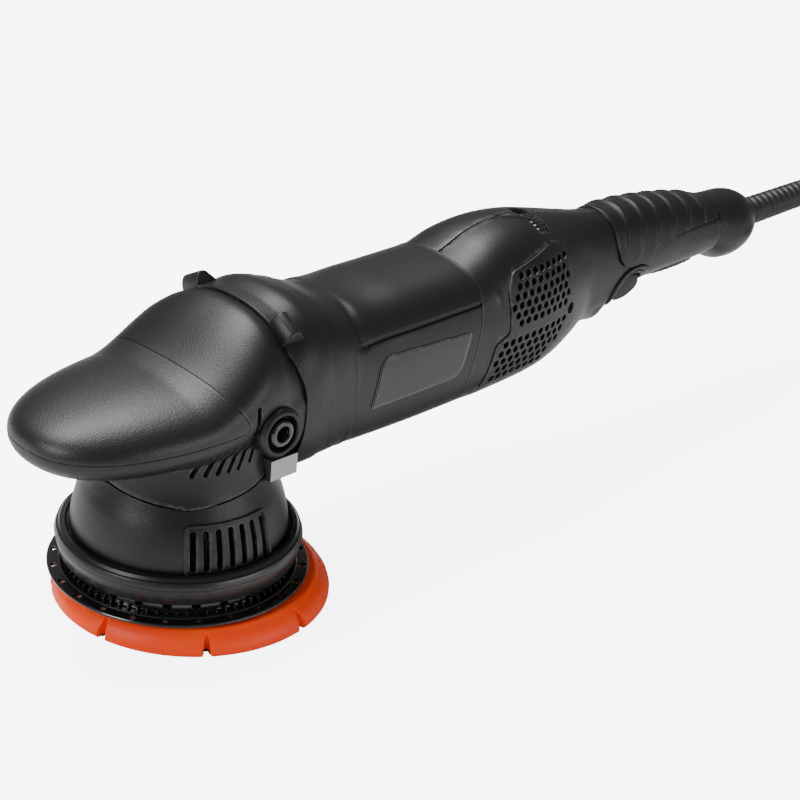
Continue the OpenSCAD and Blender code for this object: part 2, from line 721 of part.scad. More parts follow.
// Screws that hold the two halves together, their heads sunk in the far side
function bolt_seat(p) = wall_y(row_at(rear_rows, p[0]), p[1]) - 4;
module handle_screws() {
  color([0.3, 0.3, 0.31]) for (p = handle_bolts)
    translate([p[0], bolt_seat(p) + 2.3, p[1]]) rotate([90, 0, 0])
      screw(2.8, 2.25, 1.5, bolt_seat(p) + 10);
}
cell = 6.4;
module grille_cells() {
  for (z0 = [71.5, 97], c = [0:grille_cols - 1], k = [0:2])
    translate([cover_x0 + 5 + cell * (c + (k % 2) * 0.5), 0, z0 + 5.5 * k])
      rotate([90, 0, 0]) cylinder(r = 2.5, h = 60, $fn = 6);
}
module side_cover() {
  rows = rows_between(rear_rows, cover_x0 + hull_gap, cover_x1 - hull_gap);
  difference() {
    mirror([0, 1, 0]) loft([
      for (r = rows)
        let (a0 = wall_angle(r, cover_z0 + hull_gap), a1 = wall_angle(r, cover_z1 - hull_gap))
        strip(r, a0, a1, 0, 2.4, skin_n)
    ]);
    grille_cells();
    screw_room_y(cover_screw_x, 88.5, 1.6, 50);
  }
}
module side_cover_right() { color([0.12, 0.12, 0.13]) side_cover(); }
module side_cover_left() { color([0.12, 0.12, 0.13]) mirror([0, 1, 0]) side_cover(); }
module side_cover_screws() {
  color([0.5, 0.5, 0.52]) both_sides() translate([cover_screw_x, -30.5, 88.5]) rotate([-90, 0, 0])
    cylinder(r = 1.5, h = 12);
}
module speed_board() {
  color([0.1, 0.35, 0.2]) union() {
    translate([186, -16, 98]) cube([34, 32, 1.6]);
    translate([190, -8, 99.4]) cube([9, 8, 9]);
    translate([214, 2, 99.4]) cube([5, 9, 7]);
  }
}
module speed_dial() {
  color([0.1, 0.1, 0.1]) difference() {
    union() {
      along_x(dial_x - 3.4, dial_y, dial_z) cylinder(r = dial_r, h = 6.8);
      along_x(dial_x - 5.5, dial_y, dial_z) cylinder(r = 3, h = 11);
    }
    along_x(dial_x - 4, dial_y, dial_z) around(dial_knurls) translate([dial_r, 0, 0])
      cylinder(r = 0.7, h = 8);
  }
}
module switch_body() {
  color([0.15, 0.15, 0.16]) union() {
    translate([262, -10, 91]) cube([34, 20, 20]);
    translate([270, -4, 88.6]) cube([8, 8, 3]);
  }
}
// Paddle: a wide rocker under the grip with a narrow arm back to its pivot
module trigger() {
  p = trigger_pivot;
  color([0.11, 0.11, 0.12]) {
    rotate([90, 0, 0]) translate([0, 0, -8.6]) linear_extrude(17.2) difference() {
      polygon([
        [269.5, 80], [268.4, 76], [269.6, 72.6], [273, 71], [280, 71.6], [287, 74.6], [291.5, 78.6],
        [293.6, 81.2], [p[0], 82.6], [p[0], 85.4], [285, 84.6], [275, 83]
      ]);
      polygon([[273, 84], [273, 80.5], [279, 80.5], [279, 86]]);
    }
    both_sides() rotate([90, 0, 0]) translate([0, 0, 8.5]) linear_extrude(3.9) polygon([
      [269.5, 80], [268.4, 76], [269.6, 72.6], [273, 71], [280, 71.6], [287, 74.6], [288.8, 76.2],
      [288.8, 83.4], [285, 83.6], [275, 82.4]
    ]);
    rotate([90, 0, 0]) translate([p[0], p[1], -12]) cylinder(r = pivot_r, h = 24);
  }
}
module trigger_spring() {
  color([0.6, 0.6, 0.62]) translate([276, 0, 80.6]) coil_spring(2.2, 0.35, 4, 7.8);
}
// The overmould wraps over the top and both sides of the handle
module grip_sleeve() {
  rows = rows_between(rear_rows, grip_x, 345);
  color([0.1, 0.1, 0.11]) loft([for (r = rows) strip(r, -20, 200, -1.5, -0.05, 22)]);
}
module grip_insert() {
  color([0.12, 0.12, 0.13])
    loft([for (r = rows_between(rear_rows, 300, 338)) strip(r, 230, 310, -1.2, -0.05, 8)]);
}
module pommel_cap() {
  color([0.15, 0.15, 0.16]) difference() {
    union() {
      tube([for (r = pommel_rows) if (r[0] < 378) r], 0, wall);
      loft([for (r = pommel_rows) if (r[0] > 370) ring(r, 0)]);
    }
    rod_x(360, 400, 7.5);
    along_x(366, 0, motor_z) cylinder(r = 10.2, h = 10.2);
  }
}
module cord_clamp() {
  color([0.14, 0.14, 0.15]) difference() {
    translate([350, -11, 82.5]) cube([10, 22, 4]);
    rod_x(340, 370, cord_d / 2);
    for (s = [-1, 1]) translate([355, s * 8, 70]) cylinder(r = 1.5, h = 30);
  }
}
module clamp_screws() {
  color([0.5, 0.5, 0.52]) for (s = [-1, 1]) translate([355, s * 8, 79.9]) screw(2.6, 2.5, 1.4, 10);
}

// ---- Cord ----

module strain_relief() {
  ribs = 12;
  color([0.1, 0.1, 0.1]) difference() {
    union() {
      rod_x(relief_x, 376, 10);
      rod_x(375, 386, 7.4);
      along_x(385, 0, motor_z) cylinder(r1 = 6.6, r2 = 5.6, h = relief_end - 385);
      for (i = [0:ribs - 1]) rod_x(388 + 5.4 * i, 391.2 + 5.4 * i, 7.5 - 0.09 * i);
    }
    rod_x(360, relief_end + 4, cord_d / 2 + 0.03);
  }
}
module cord() {
  color([0.08, 0.08, 0.08]) {
    sweep(spline(lead_pts, 3), cord_d / 2, 8);
    sweep(spline(tail_pts, 2), cord_d / 2, 8);
  }
}
module cord_coil() {
  h = coil_layers * cord_d + 0.4;
  w = 1.55 * cord_d;
  color([0.09, 0.09, 0.09]) translate([coil_x, coil_y, 0]) rotate_extrude() polygon([
    [coil_r - w + 3, 0], [coil_r + w - 3, 0], [coil_r + w, 3], [coil_r + w, h - 3],
    [coil_r + w - 3, h], [coil_r - w + 3, h], [coil_r - w, h - 3], [coil_r - w, 3]
  ]);
}
module cord_tie() {
  h = coil_layers * cord_d + 0.4;
  color([0.2, 0.2, 0.2]) translate([coil_x + coil_r, coil_y, 0]) difference() {
    translate([-14.6, -5, 0.05]) cube([29.2, 10, h + 1.4]);
    translate([-13.4, -6, -1]) cube([26.8, 12, h + 1.2]);
  }
}
module plug() {
  color([0.09, 0.09, 0.09]) along_x(460, -120, 17.2) difference() {
    union() {
      cylinder(r = 17, h = 22);
      translate([0, 0, 21.9]) cylinder(r1 = 13, r2 = 7, h = 18.1);
    }
    for (s = [-1, 1]) translate([0, s * 9.5, -1]) cylinder(r = 2.4, h = 7);
  }
}
module plug_pins() {
  color([0.8, 0.8, 0.8]) for (s = [-1, 1]) along_x(441, -120 + s * 9.5, 17.2)
    cylinder(r = 2.4, h = 24.9);
}

palm_cover();
head_shell();
gear_case();
gear_case_lid();
lid_screws();
motor_collar();
motor_screws();
side_handle_inserts();
spindle_bearings();
bearing_retainer();
shroud();
shroud_screws();
bumper_ring();
vent_ring();
motor_housing();
label_plates();
field_core();
field_windings();
air_baffle();
armature_bearings();
brush_holders();
carbon_brushes();
brush_springs();
rear_housing_left();
rear_housing_right();
side_cover_left();
side_cover_right();
side_cover_screws();
handle_screws();
speed_board();
speed_dial();
switch_body();
trigger();
trigger_spring();
grip_sleeve();
grip_insert();
pommel_cap();
cord_clamp();
clamp_screws();
strain_relief();
cord();
cord_coil();
cord_tie();
plug();
plug_pins();
armature_shaft();
armature_core();
armature_windings();
commutator();
fan();
pinion();
spindle();
crown_gear();
counterweight();
eccentric_bearings();
pad_spindle();
backing_disc();
pad_foam();
hook_face();
pad_bolt();
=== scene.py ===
import json
import math

import bmesh
import bpy
import numpy as np
from mathutils import Matrix, Vector


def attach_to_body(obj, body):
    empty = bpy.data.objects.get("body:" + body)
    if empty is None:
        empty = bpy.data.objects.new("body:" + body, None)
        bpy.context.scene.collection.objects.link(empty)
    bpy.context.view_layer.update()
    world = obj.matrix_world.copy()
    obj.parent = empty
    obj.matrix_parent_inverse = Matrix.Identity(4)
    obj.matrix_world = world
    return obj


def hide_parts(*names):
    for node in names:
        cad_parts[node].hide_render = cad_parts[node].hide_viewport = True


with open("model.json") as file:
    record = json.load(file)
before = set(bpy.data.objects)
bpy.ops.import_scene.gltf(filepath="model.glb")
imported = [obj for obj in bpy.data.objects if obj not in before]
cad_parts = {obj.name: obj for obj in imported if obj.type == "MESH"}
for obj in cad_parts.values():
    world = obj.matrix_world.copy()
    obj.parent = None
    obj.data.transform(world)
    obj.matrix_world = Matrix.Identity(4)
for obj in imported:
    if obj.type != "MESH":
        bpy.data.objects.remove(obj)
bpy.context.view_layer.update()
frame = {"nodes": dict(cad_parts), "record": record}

NODES = frame["nodes"]
MM = 0.001

# ---- Camera, floor and lights ----

FOCAL = 113.07
EYE = Vector((-0.6308, -0.7436, 0.5883))
AZIMUTH, ELEVATION, ROLL = -45.834, 26.688, 4.301


def place_camera():
    a, e, r = (math.radians(v) for v in (AZIMUTH, ELEVATION, ROLL))
    back = Vector((math.sin(a) * math.cos(e), -math.cos(a) * math.cos(e), math.sin(e)))
    right = Vector((math.cos(a), math.sin(a), 0))
    up = back.cross(right)
    x_axis = right * math.cos(r) + up * math.sin(r)
    y_axis = up * math.cos(r) - right * math.sin(r)
    cam = bpy.data.objects.new("camera", bpy.data.cameras.new("camera"))
    cam.data.lens = FOCAL
    cam.data.sensor_width = 36
    cam.data.clip_start, cam.data.clip_end = 0.05, 40
    cam.matrix_world = Matrix((
        (x_axis.x, y_axis.x, back.x, EYE.x),
        (x_axis.y, y_axis.y, back.y, EYE.y),
        (x_axis.z, y_axis.z, back.z, EYE.z),
        (0, 0, 0, 1),
    ))
    bpy.context.scene.collection.objects.link(cam)
    bpy.context.scene.camera = cam


def softbox(name, where, aim, size, watts, tint=(1, 1, 1)):
    lamp = bpy.data.lights.new(name, "AREA")
    lamp.shape = "RECTANGLE"
    lamp.size, lamp.size_y = size
    lamp.energy = watts
    lamp.color = tint
    ob = bpy.data.objects.new(name, lamp)
    ob.location = where
    ob.rotation_euler = (Vector(aim) - Vector(where)).to_track_quat("-Z", "Y").to_euler()
    bpy.context.scene.collection.objects.link(ob)


def studio():
    world = bpy.data.worlds.new("studio")
    world.use_nodes = True
    sky = world.node_tree.nodes["Background"]
    sky.inputs["Color"].default_value = (1, 1, 1, 1)
    sky.inputs["Strength"].default_value = 0.22
    bpy.context.scene.world = world
    softbox("top", (0.1, 0.45, 1.3), (0.12, 0, 0.08), (1.3, 0.5), 34)
    softbox("left", (-1.3, 0.1, 0.8), (0, 0, 0.08), (0.5, 0.7), 13)
    softbox("right", (0.5, -1.4, 0.35), (0.15, 0, 0.08), (1.1, 0.35), 7)
    mesh = bpy.data.meshes.new("floor")
    far = 9
    mesh.from_pydata([(-far, -far, 0), (far, -far, 0), (far, far, 0), (-far, far, 0)], [], [(0, 1, 2, 3)])
    floor = bpy.data.objects.new("floor", mesh)
    bpy.context.scene.collection.objects.link(floor)
    paper = bpy.data.materials.new("floor paper")
    paper.use_nodes = True
    skin = paper.node_tree.nodes["Principled BSDF"]
    skin.inputs["Base Color"].default_value = (0.93, 0.93, 0.935, 1)
    skin.inputs["Roughness"].default_value = 0.9
    seen = paper.node_tree.nodes.new("ShaderNodeLightPath")
    lift = paper.node_tree.nodes.new("ShaderNodeMath")
    lift.operation = "MULTIPLY"
    lift.inputs[1].default_value = 6.0
    paper.node_tree.links.new(seen.outputs["Is Camera Ray"], lift.inputs[0])
    paper.node_tree.links.new(lift.outputs[0], skin.inputs["Emission Strength"])
    skin.inputs["Emission Color"].default_value = (1, 1, 1, 1)
    mesh.materials.append(paper)


place_camera()
studio()

# ---- Node groups that several finishes share ----


def group(name, inputs, outputs):
    tree = bpy.data.node_groups.new(name, "ShaderNodeTree")
    for label, kind, value in inputs:
        socket = tree.interface.new_socket(name=label, in_out="INPUT", socket_type=kind)
        if value is not None:
            socket.default_value = value
    for label, kind in outputs:
        tree.interface.new_socket(name=label, in_out="OUTPUT", socket_type=kind)
    return tree, tree.nodes.new("NodeGroupInput"), tree.nodes.new("NodeGroupOutput")


def node(tree, kind, inputs=None, **settings):
    n = tree.nodes.new(kind)
    for key, value in settings.items():
        setattr(n, key, value)
    for key, value in (inputs or {}).items():
        if isinstance(value, bpy.types.NodeSocket):
            tree.links.new(value, n.inputs[key])
        else:
            n.inputs[key].default_value = value
    return n


def math_node(tree, op, a, b=0.0, c=0.0, clamp=False):
    return node(tree, "ShaderNodeMath", {0: a, 1: b, 2: c}, operation=op, use_clamp=clamp).outputs[0]


FLOAT, COLOUR, VECTOR = "NodeSocketFloat", "NodeSocketColor", "NodeSocketVector"


def moulded_grain():
    """Spark-eroded texture of a plastic moulding: rounded pits with a slow drift in depth."""
    tree, i, o = group(
        "Moulded grain",
        [("Vector", VECTOR, None), ("Pits per metre", FLOAT, 1500.0), ("Drift", FLOAT, 0.3)],
        [("Height", FLOAT), ("Tone", FLOAT)],
    )
    pits = node(tree, "ShaderNodeTexNoise", {
        "Vector": i.outputs["Vector"], "Scale": i.outputs["Pits per metre"], "Detail": 3.0, "Roughness": 0.6})
    cells = node(tree, "ShaderNodeTexVoronoi", {
        "Vector": i.outputs["Vector"], "Scale": i.outputs["Pits per metre"]}, feature="SMOOTH_F1")
    slow = node(tree, "ShaderNodeTexNoise", {"Vector": i.outputs["Vector"], "Scale": 34.0, "Detail": 4.0})
    softened = math_node(tree, "MULTIPLY", cells.outputs["Distance"], 0.5)
    both = math_node(tree, "ADD", pits.outputs["Fac"], softened)
    drift = math_node(tree, "MULTIPLY", slow.outputs["Fac"], i.outputs["Drift"])
    tree.links.new(math_node(tree, "ADD", both, drift), o.inputs["Height"])
    tree.links.new(slow.outputs["Fac"], o.inputs["Tone"])
    return tree


def handling_wear():
    """Patches rubbed smoother and a little paler or darker by hands and cloths."""
    tree, i, o = group(
        "Handling wear",
        [("Vector", VECTOR, None), ("Colour", COLOUR, (0.03, 0.03, 0.03, 1)),
         ("Rubbed colour", COLOUR, (0.05, 0.05, 0.05, 1)), ("Roughness", FLOAT, 0.5),
         ("Rubbed roughness", FLOAT, 0.4), ("Amount", FLOAT, 0.5)],
        [("Colour", COLOUR), ("Roughness", FLOAT), ("Mask", FLOAT)],
    )
    broad = node(tree, "ShaderNodeTexNoise", {"Vector": i.outputs["Vector"], "Scale": 22.0, "Detail": 5.0,
                                              "Roughness": 0.65, "Distortion": 0.6})
    fine = node(tree, "ShaderNodeTexNoise", {"Vector": i.outputs["Vector"], "Scale": 420.0, "Detail": 3.0})
    patches = node(tree, "ShaderNodeMapRange", {
        "Value": broad.outputs["Fac"], "From Min": 0.42, "From Max": 0.68})
    mix = math_node(tree, "ADD", math_node(tree, "MULTIPLY", patches.outputs[0], 0.75),
                    math_node(tree, "MULTIPLY", fine.outputs["Fac"], 0.25))
    mask = math_node(tree, "MULTIPLY", mix, i.outputs["Amount"], clamp=True)
    tint = node(tree, "ShaderNodeMix", {
        "Factor": mask, 6: i.outputs["Colour"], 7: i.outputs["Rubbed colour"]}, data_type="RGBA")
    rough = node(tree, "ShaderNodeMix", {
        0: mask, 2: i.outputs["Roughness"], 3: i.outputs["Rubbed roughness"]}, data_type="FLOAT")
    tree.links.new(tint.outputs[2], o.inputs["Colour"])
    tree.links.new(rough.outputs[0], o.inputs["Roughness"])
    tree.links.new(mask, o.inputs["Mask"])
    return tree


def edge_wear():
    """Paler, polished line along convex edges, broken up by noise."""
    tree, i, o = group(
        "Edge wear",
        [("Vector", VECTOR, None), ("Colour", COLOUR, (0.03, 0.03, 0.03, 1)),
         ("Edge colour", COLOUR, (0.1, 0.1, 0.1, 1)), ("Amount", FLOAT, 0.5)],
        [("Colour", COLOUR), ("Mask", FLOAT)],
    )
    geo = node(tree, "ShaderNodeNewGeometry")
    ridge = node(tree, "ShaderNodeMapRange", {
        "Value": geo.outputs["Pointiness"], "From Min": 0.52, "From Max": 0.62})
    chips = node(tree, "ShaderNodeTexNoise", {"Vector": i.outputs["Vector"], "Scale": 260.0, "Detail": 5.0})
    broken = node(tree, "ShaderNodeMapRange", {
        "Value": chips.outputs["Fac"], "From Min": 0.35, "From Max": 0.6})
    mask = math_node(tree, "MULTIPLY", math_node(tree, "MULTIPLY", ridge.outputs[0], broken.outputs[0]),
                     i.outputs["Amount"], clamp=True)
    tint = node(tree, "ShaderNodeMix", {
        "Factor": mask, 6: i.outputs["Colour"], 7: i.outputs["Edge colour"]}, data_type="RGBA")
    tree.links.new(tint.outputs[2], o.inputs["Colour"])
    tree.links.new(mask, o.inputs["Mask"])
    return tree


def fine_scratches():
    """Hairline scratches and lay lines stretched along one direction."""
    tree, i, o = group(
        "Lay lines",
        [("Vector", VECTOR, None), ("Stretch", VECTOR, (1, 1, 1)), ("Lines per metre", FLOAT, 900.0)],
        [("Height", FLOAT)],
    )
    squeeze = node(tree, "ShaderNodeVectorMath", {0: i.outputs["Vector"], 1: i.outputs["Stretch"]},
                   operation="MULTIPLY")
    lines = node(tree, "ShaderNodeTexNoise", {
        "Vector": squeeze.outputs[0], "Scale": i.outputs["Lines per metre"], "Detail": 4.0, "Roughness": 0.7})
    tree.links.new(lines.outputs["Fac"], o.inputs["Height"])
    return tree


GRAIN, WEAR, EDGE, LAY = moulded_grain(), handling_wear(), edge_wear(), fine_scratches()

# ---- Finishes ----


def new_material(name):
    m = bpy.data.materials.new(name)
    m.use_nodes = True
    tree = m.node_tree
    coords = tree.nodes.new("ShaderNodeTexCoord").outputs["Object"]
    return m, tree, tree.nodes["Principled BSDF"], coords


def use(tree, grp, inputs):
    n = tree.nodes.new("ShaderNodeGroup")
    n.node_tree = grp
    for key, value in inputs.items():
        if isinstance(value, bpy.types.NodeSocket):
            tree.links.new(value, n.inputs[key])
        else:
            n.inputs[key].default_value = value
    return n


def grey(v, warm=0.0):
    return (v * (1 + warm), v, v * (1 - warm), 1)


def plastic(name, colour, rubbed, rough, rubbed_rough, pits=1500.0, depth=0.06, wear=0.5, edge=0.4,
            edge_colour=None, specular=0.5, coat=0.0, sheen=0.0):
    m, tree, skin, at = new_material(name)
    grain = use(tree, GRAIN, {"Vector": at, "Pits per metre": pits})
    worn = use(tree, WEAR, {"Vector": at, "Colour": colour, "Rubbed colour": rubbed, "Roughness": rough,
                            "Rubbed roughness": rubbed_rough, "Amount": wear})
    edges = use(tree, EDGE, {"Vector": at, "Colour": worn.outputs["Colour"],
                             "Edge colour": edge_colour or grey(0.09), "Amount": edge})
    bump = node(tree, "ShaderNodeBump", {
        "Height": grain.outputs["Height"], "Strength": depth, "Distance": 0.0004})
    tree.links.new(edges.outputs["Colour"], skin.inputs["Base Color"])
    tree.links.new(worn.outputs["Roughness"], skin.inputs["Roughness"])
    tree.links.new(bump.outputs[0], skin.inputs["Normal"])
    skin.inputs["Specular IOR Level"].default_value = specular
    skin.inputs["Coat Weight"].default_value = coat
    skin.inputs["Sheen Weight"].default_value = sheen
    return m


def metal(name, colour, dull, rough, stretch, lines=900.0, depth=0.12):
    m, tree, skin, at = new_material(name)
    lay = use(tree, LAY, {"Vector": at, "Stretch": stretch, "Lines per metre": lines})
    worn = use(tree, WEAR, {"Vector": at, "Colour": colour, "Rubbed colour": dull, "Roughness": rough,
                            "Rubbed roughness": rough * 0.75, "Amount": 0.7})
    bump = node(tree, "ShaderNodeBump", {
        "Height": lay.outputs["Height"], "Strength": depth, "Distance": 0.0003})
    tree.links.new(worn.outputs["Colour"], skin.inputs["Base Color"])
    tree.links.new(worn.outputs["Roughness"], skin.inputs["Roughness"])
    tree.links.new(bump.outputs[0], skin.inputs["Normal"])
    skin.inputs["Metallic"].default_value = 1.0
    return m


BODY_BLACK = plastic("body plastic", grey(0.005), grey(0.008), 0.42, 0.34, pits=1500, depth=0.2,
                     specular=0.38)
COVER_BLACK = plastic("palm cover", grey(0.006), grey(0.01), 0.42, 0.34, pits=1250, depth=0.28, specular=0.42)
GRIP_BLACK = plastic("grip rubber", grey(0.004), grey(0.007), 0.46, 0.38, pits=1900, depth=0.25,
                     specular=0.36)
BUMPER_BLACK = plastic("bumper rubber", grey(0.007), grey(0.012), 0.34, 0.26, pits=1000, depth=0.12, edge=0.8)
GLOSS_BLACK = plastic("gloss black", grey(0.006), grey(0.01), 0.2, 0.12, pits=700, depth=0.03, coat=0.4)
INNER_NYLON = plastic("inner nylon", grey(0.035), grey(0.05), 0.55, 0.45)
CORD_BLACK = plastic("cord rubber", grey(0.009), grey(0.015), 0.5, 0.4, pits=1400, depth=0.2)
PLATE_BLACK = plastic("name plate", grey(0.013), grey(0.017), 0.36, 0.3, pits=2400, depth=0.08, wear=0.35)
CARBON = plastic("carbon", grey(0.012), grey(0.03), 0.6, 0.4)
BOARD_GREEN = plastic("circuit board", (0.01, 0.09, 0.035, 1), (0.015, 0.12, 0.05, 1), 0.35, 0.25)
PAD_ORANGE = plastic("orange urethane", (1.0, 0.05, 0.003, 1), (1.0, 0.1, 0.005, 1), 0.42, 0.34, pits=1100,
                     depth=0.14, wear=0.8, edge=0.3, edge_colour=(1.0, 0.1, 0.01, 1), specular=0.2)
HOOK_TAPE = plastic("hook tape", grey(0.012), grey(0.02), 0.8, 0.7, pits=700, depth=0.9, sheen=0.4)
CAST_ALLOY = metal("cast alloy", grey(0.34), grey(0.26), 0.5, (1, 1, 0.2), lines=1400, depth=0.35)
STEEL = metal("ground steel", grey(0.48), grey(0.4), 0.3, (1, 1, 0.05))
ZINC = metal("zinc plate", (0.5, 0.5, 0.46, 1), grey(0.42), 0.32, (1, 1, 1))
LAMINATION = metal("lamination stack", grey(0.22), grey(0.16), 0.42, (40, 0.4, 0.4), lines=120, depth=0.6)
COPPER = metal("enamelled copper", (0.62, 0.24, 0.09, 1), (0.5, 0.17, 0.06, 1), 0.3, (6, 1, 1),
               lines=260, depth=0.6)
BRASS = metal("stamped brass", (0.72, 0.5, 0.2, 1), (0.6, 0.4, 0.15, 1), 0.3, (1, 1, 1))
NICKEL = metal("nickel", (0.72, 0.69, 0.63, 1), grey(0.6), 0.18, (0.1, 1, 1))

FINISH_OF_SLOT = {
    "black_plastic": BODY_BLACK, "soft_touch": GRIP_BLACK, "bumper_rubber": BUMPER_BLACK,
    "gloss_black": GLOSS_BLACK, "cast_alloy": CAST_ALLOY, "steel": STEEL, "zinc_screw": ZINC,
    "lamination": LAMINATION, "copper": COPPER, "brass_part": BRASS, "carbon": CARBON,
    "board": BOARD_GREEN, "orange_foam": PAD_ORANGE, "hook_fabric": HOOK_TAPE,
    "cord_jacket": CORD_BLACK, "nickel": NICKEL, "inner_plastic": INNER_NYLON, "name_plate": PLATE_BLACK,
}
SLOT_OF_NODE = {s["node"]: s["material_slot"] for s in frame["record"]["subparts"]}
for node_name, cad in NODES.items():
    cad.data.materials.clear()
    cad.data.materials.append(FINISH_OF_SLOT[SLOT_OF_NODE[node_name]])

# ---- Mesh helpers: all sizes in millimetres until the mesh is made ----


def build(name, verts, faces, finish, weld=0.002):
    """Mesh object from millimetre points, welded, with its faces turned outward."""
    bm = bmesh.new()
    made = [bm.verts.new(Vector(v) * MM) for v in verts]
    for f in faces:
        ids = list(dict.fromkeys(f))
        if len(ids) > 2:
            try:
                bm.faces.new([made[k] for k in ids])
            except ValueError:
                pass
    bmesh.ops.remove_doubles(bm, verts=bm.verts, dist=weld * MM)
    bmesh.ops.dissolve_degenerate(bm, edges=bm.edges, dist=weld * MM * 0.5)
    bmesh.ops.recalc_face_normals(bm, faces=bm.faces)
    mesh = bpy.data.meshes.new(name)
    bm.to_mesh(mesh)
    bm.free()
    ob = bpy.data.objects.new(name, mesh)
    bpy.context.scene.collection.objects.link(ob)
    mesh.materials.append(finish)
    return ob


def grid_faces(nu, nv, wrap=False, base=0):
    return [
        (base + i * nv + j, base + i * nv + (j + 1) % nv,
         base + (i + 1) * nv + (j + 1) % nv, base + (i + 1) * nv + j)
        for i in range(nu - 1) for j in range(nv if wrap else nv - 1)
    ]


def sheet_piece(name, grids, finish, thick, centre, edge=0.45, cuts=(), segments=3):
    """Open surface given as point grids, thickened inward, cut, and rounded at its edges."""
    verts, faces = [], []
    for pts, wrap in grids:
        nu, nv = pts.shape[:2]
        faces += grid_faces(nu, nv, wrap, len(verts))
        verts += [tuple(p) for p in pts.reshape(-1, 3)]
    ob = build(name, verts, faces, finish)
    face_away(ob, centre)
    add = ob.modifiers.new("wall", "SOLIDIFY")
    add.thickness = thick * MM
    add.offset = -1
    add.use_even_offset = False
    cook(ob)
    for cutter in cuts:
        cut(ob, cutter)
    soften(ob, edge, segments)
    return ob


def face_away(ob, centre):
    mesh = ob.data
    c = Vector(centre) * MM
    total = sum(p.normal.dot(p.center - c) * p.area for p in mesh.polygons)
    if total < 0:
        mesh.flip_normals()


def cook(ob):
    """Applies the object's modifiers."""
    graph = bpy.context.evaluated_depsgraph_get()
    graph.update()
    done = bpy.data.meshes.new_from_object(ob.evaluated_get(graph))
    old = ob.data
    ob.modifiers.clear()
    ob.data = done
    bpy.data.meshes.remove(old)


def cut(ob, cutter, op="DIFFERENCE"):
    mod = ob.modifiers.new("cut", "BOOLEAN")
    mod.operation = op
    mod.solver = "MANIFOLD"
    mod.object = cutter
    cook(ob)


def soften(ob, edge, segments=3, angle=38.0):
    """Rounds sharp edges and shades the rest smooth."""
    if edge:
        mod = ob.modifiers.new("edges", "BEVEL")
        mod.width = edge * MM
        mod.segments = segments
        mod.limit_method = "ANGLE"
        mod.angle_limit = math.radians(angle)
        mod.use_clamp_overlap = True
        mod.harden_normals = False
        cook(ob)
    ob.data.shade_smooth()
    ob.data.set_sharp_from_angle(angle=math.radians(42))


def discard(*obs):
    for ob in obs:
        mesh = ob.data
        bpy.data.objects.remove(ob)
        bpy.data.meshes.remove(mesh)


def prism(name, outline, along, start, end):
    """Closed prism of a flat outline. along is the axis it runs on, x, y or z."""
    n = len(outline)
    verts = []
    for depth in (start, end):
        for p in outline:
            corner = {"x": (depth, p[0], p[1]), "y": (p[0], depth, p[1]), "z": (p[0], p[1], depth)}
            verts.append(corner[along])
    faces = [tuple(range(n)), tuple(range(2 * n - 1, n - 1, -1))]
    faces += [(i, (i + 1) % n, n + (i + 1) % n, n + i) for i in range(n)]
    return build(name, verts, faces, INNER_NYLON, weld=0.0001)


def joined(name, parts):
    """One mesh out of several, for one cut."""
    bm = bmesh.new()
    for ob in parts:
        bm.from_mesh(ob.data)
    mesh = bpy.data.meshes.new(name)
    bm.to_mesh(mesh)
    bm.free()
    discard(*parts)
    out = bpy.data.objects.new(name, mesh)
    bpy.context.scene.collection.objects.link(out)
    return out


def stadium(cx, cy, length, width, turn=0.0, n=6):
    """Outline of a round-ended slot, long side along the second axis before turning."""
    r = width / 2
    h = length / 2 - r
    pts = [(r * math.cos(a), h + r * math.sin(a)) for a in np.linspace(0, math.pi, n)]
    pts += [(r * math.cos(a), -h + r * math.sin(a)) for a in np.linspace(math.pi, 2 * math.pi, n)]
    c, s = math.cos(math.radians(turn)), math.sin(math.radians(turn))
    return [(cx + x * c - y * s, cy + x * s + y * c) for x, y in pts]


def round_outline(points, radius, n=5):
    """Rounds the corners of a polygon."""
    out = []
    for i, p in enumerate(points):
        p = np.array(p, float)
        a = np.array(points[i - 1], float) - p
        b = np.array(points[(i + 1) % len(points)], float) - p
        la, lb = np.linalg.norm(a), np.linalg.norm(b)
        r = min(radius, la / 2.2, lb / 2.2)
        pa, pb = p + a / la * r, p + b / lb * r
        for t in np.linspace(0, 1, n):
            out.append(tuple((1 - t) ** 2 * pa + 2 * t * (1 - t) * p + t * t * pb))
    return out


def disc(cx, cy, r, n=32):
    turns = np.linspace(0, 2 * math.pi, n, endpoint=False)
    return [(cx + r * math.cos(a), cy + r * math.sin(a)) for a in turns]


def revolve(name, profile, finish, n=160, centre=(0, 0), cuts=(), edge=0.3, segments=3,
            wobble=None):
    """Solid of revolution about a vertical axis from a closed outline of radius and height."""
    prof = np.array(profile, float)
    a = np.linspace(0, 2 * math.pi, n, endpoint=False)
    pts = np.zeros((len(prof) + 1, n, 3))
    for k in range(len(prof) + 1):
        r, z = prof[k % len(prof)]
        pts[k, :, 0] = centre[0] + r * np.cos(a)
        pts[k, :, 1] = centre[1] + r * np.sin(a)
        pts[k, :, 2] = z
    if wobble is not None:
        pts = wobble(pts)
    ob = build(name, [tuple(p) for p in pts.reshape(-1, 3)], grid_faces(len(prof) + 1, n, True), finish)
    for cutter in cuts:
        cut(ob, cutter)
    soften(ob, edge, segments)
    return ob


def catmull(points, steps):
    """Smooth curve through points, with the first and last kept."""
    p = np.array(points, float)
    p = np.vstack([2 * p[0] - p[1], p, 2 * p[-1] - p[-2]])
    out = []
    for i in range(1, len(p) - 2):
        for t in np.linspace(0, 1, steps, endpoint=False):
            a, b, c, d = p[i - 1], p[i], p[i + 1], p[i + 2]
            out.append(0.5 * (2 * b + (c - a) * t + (2 * a - 5 * b + 4 * c - d) * t * t
                              + (3 * b - a - 3 * c + d) * t ** 3))
    out.append(p[-2])
    return np.array(out)


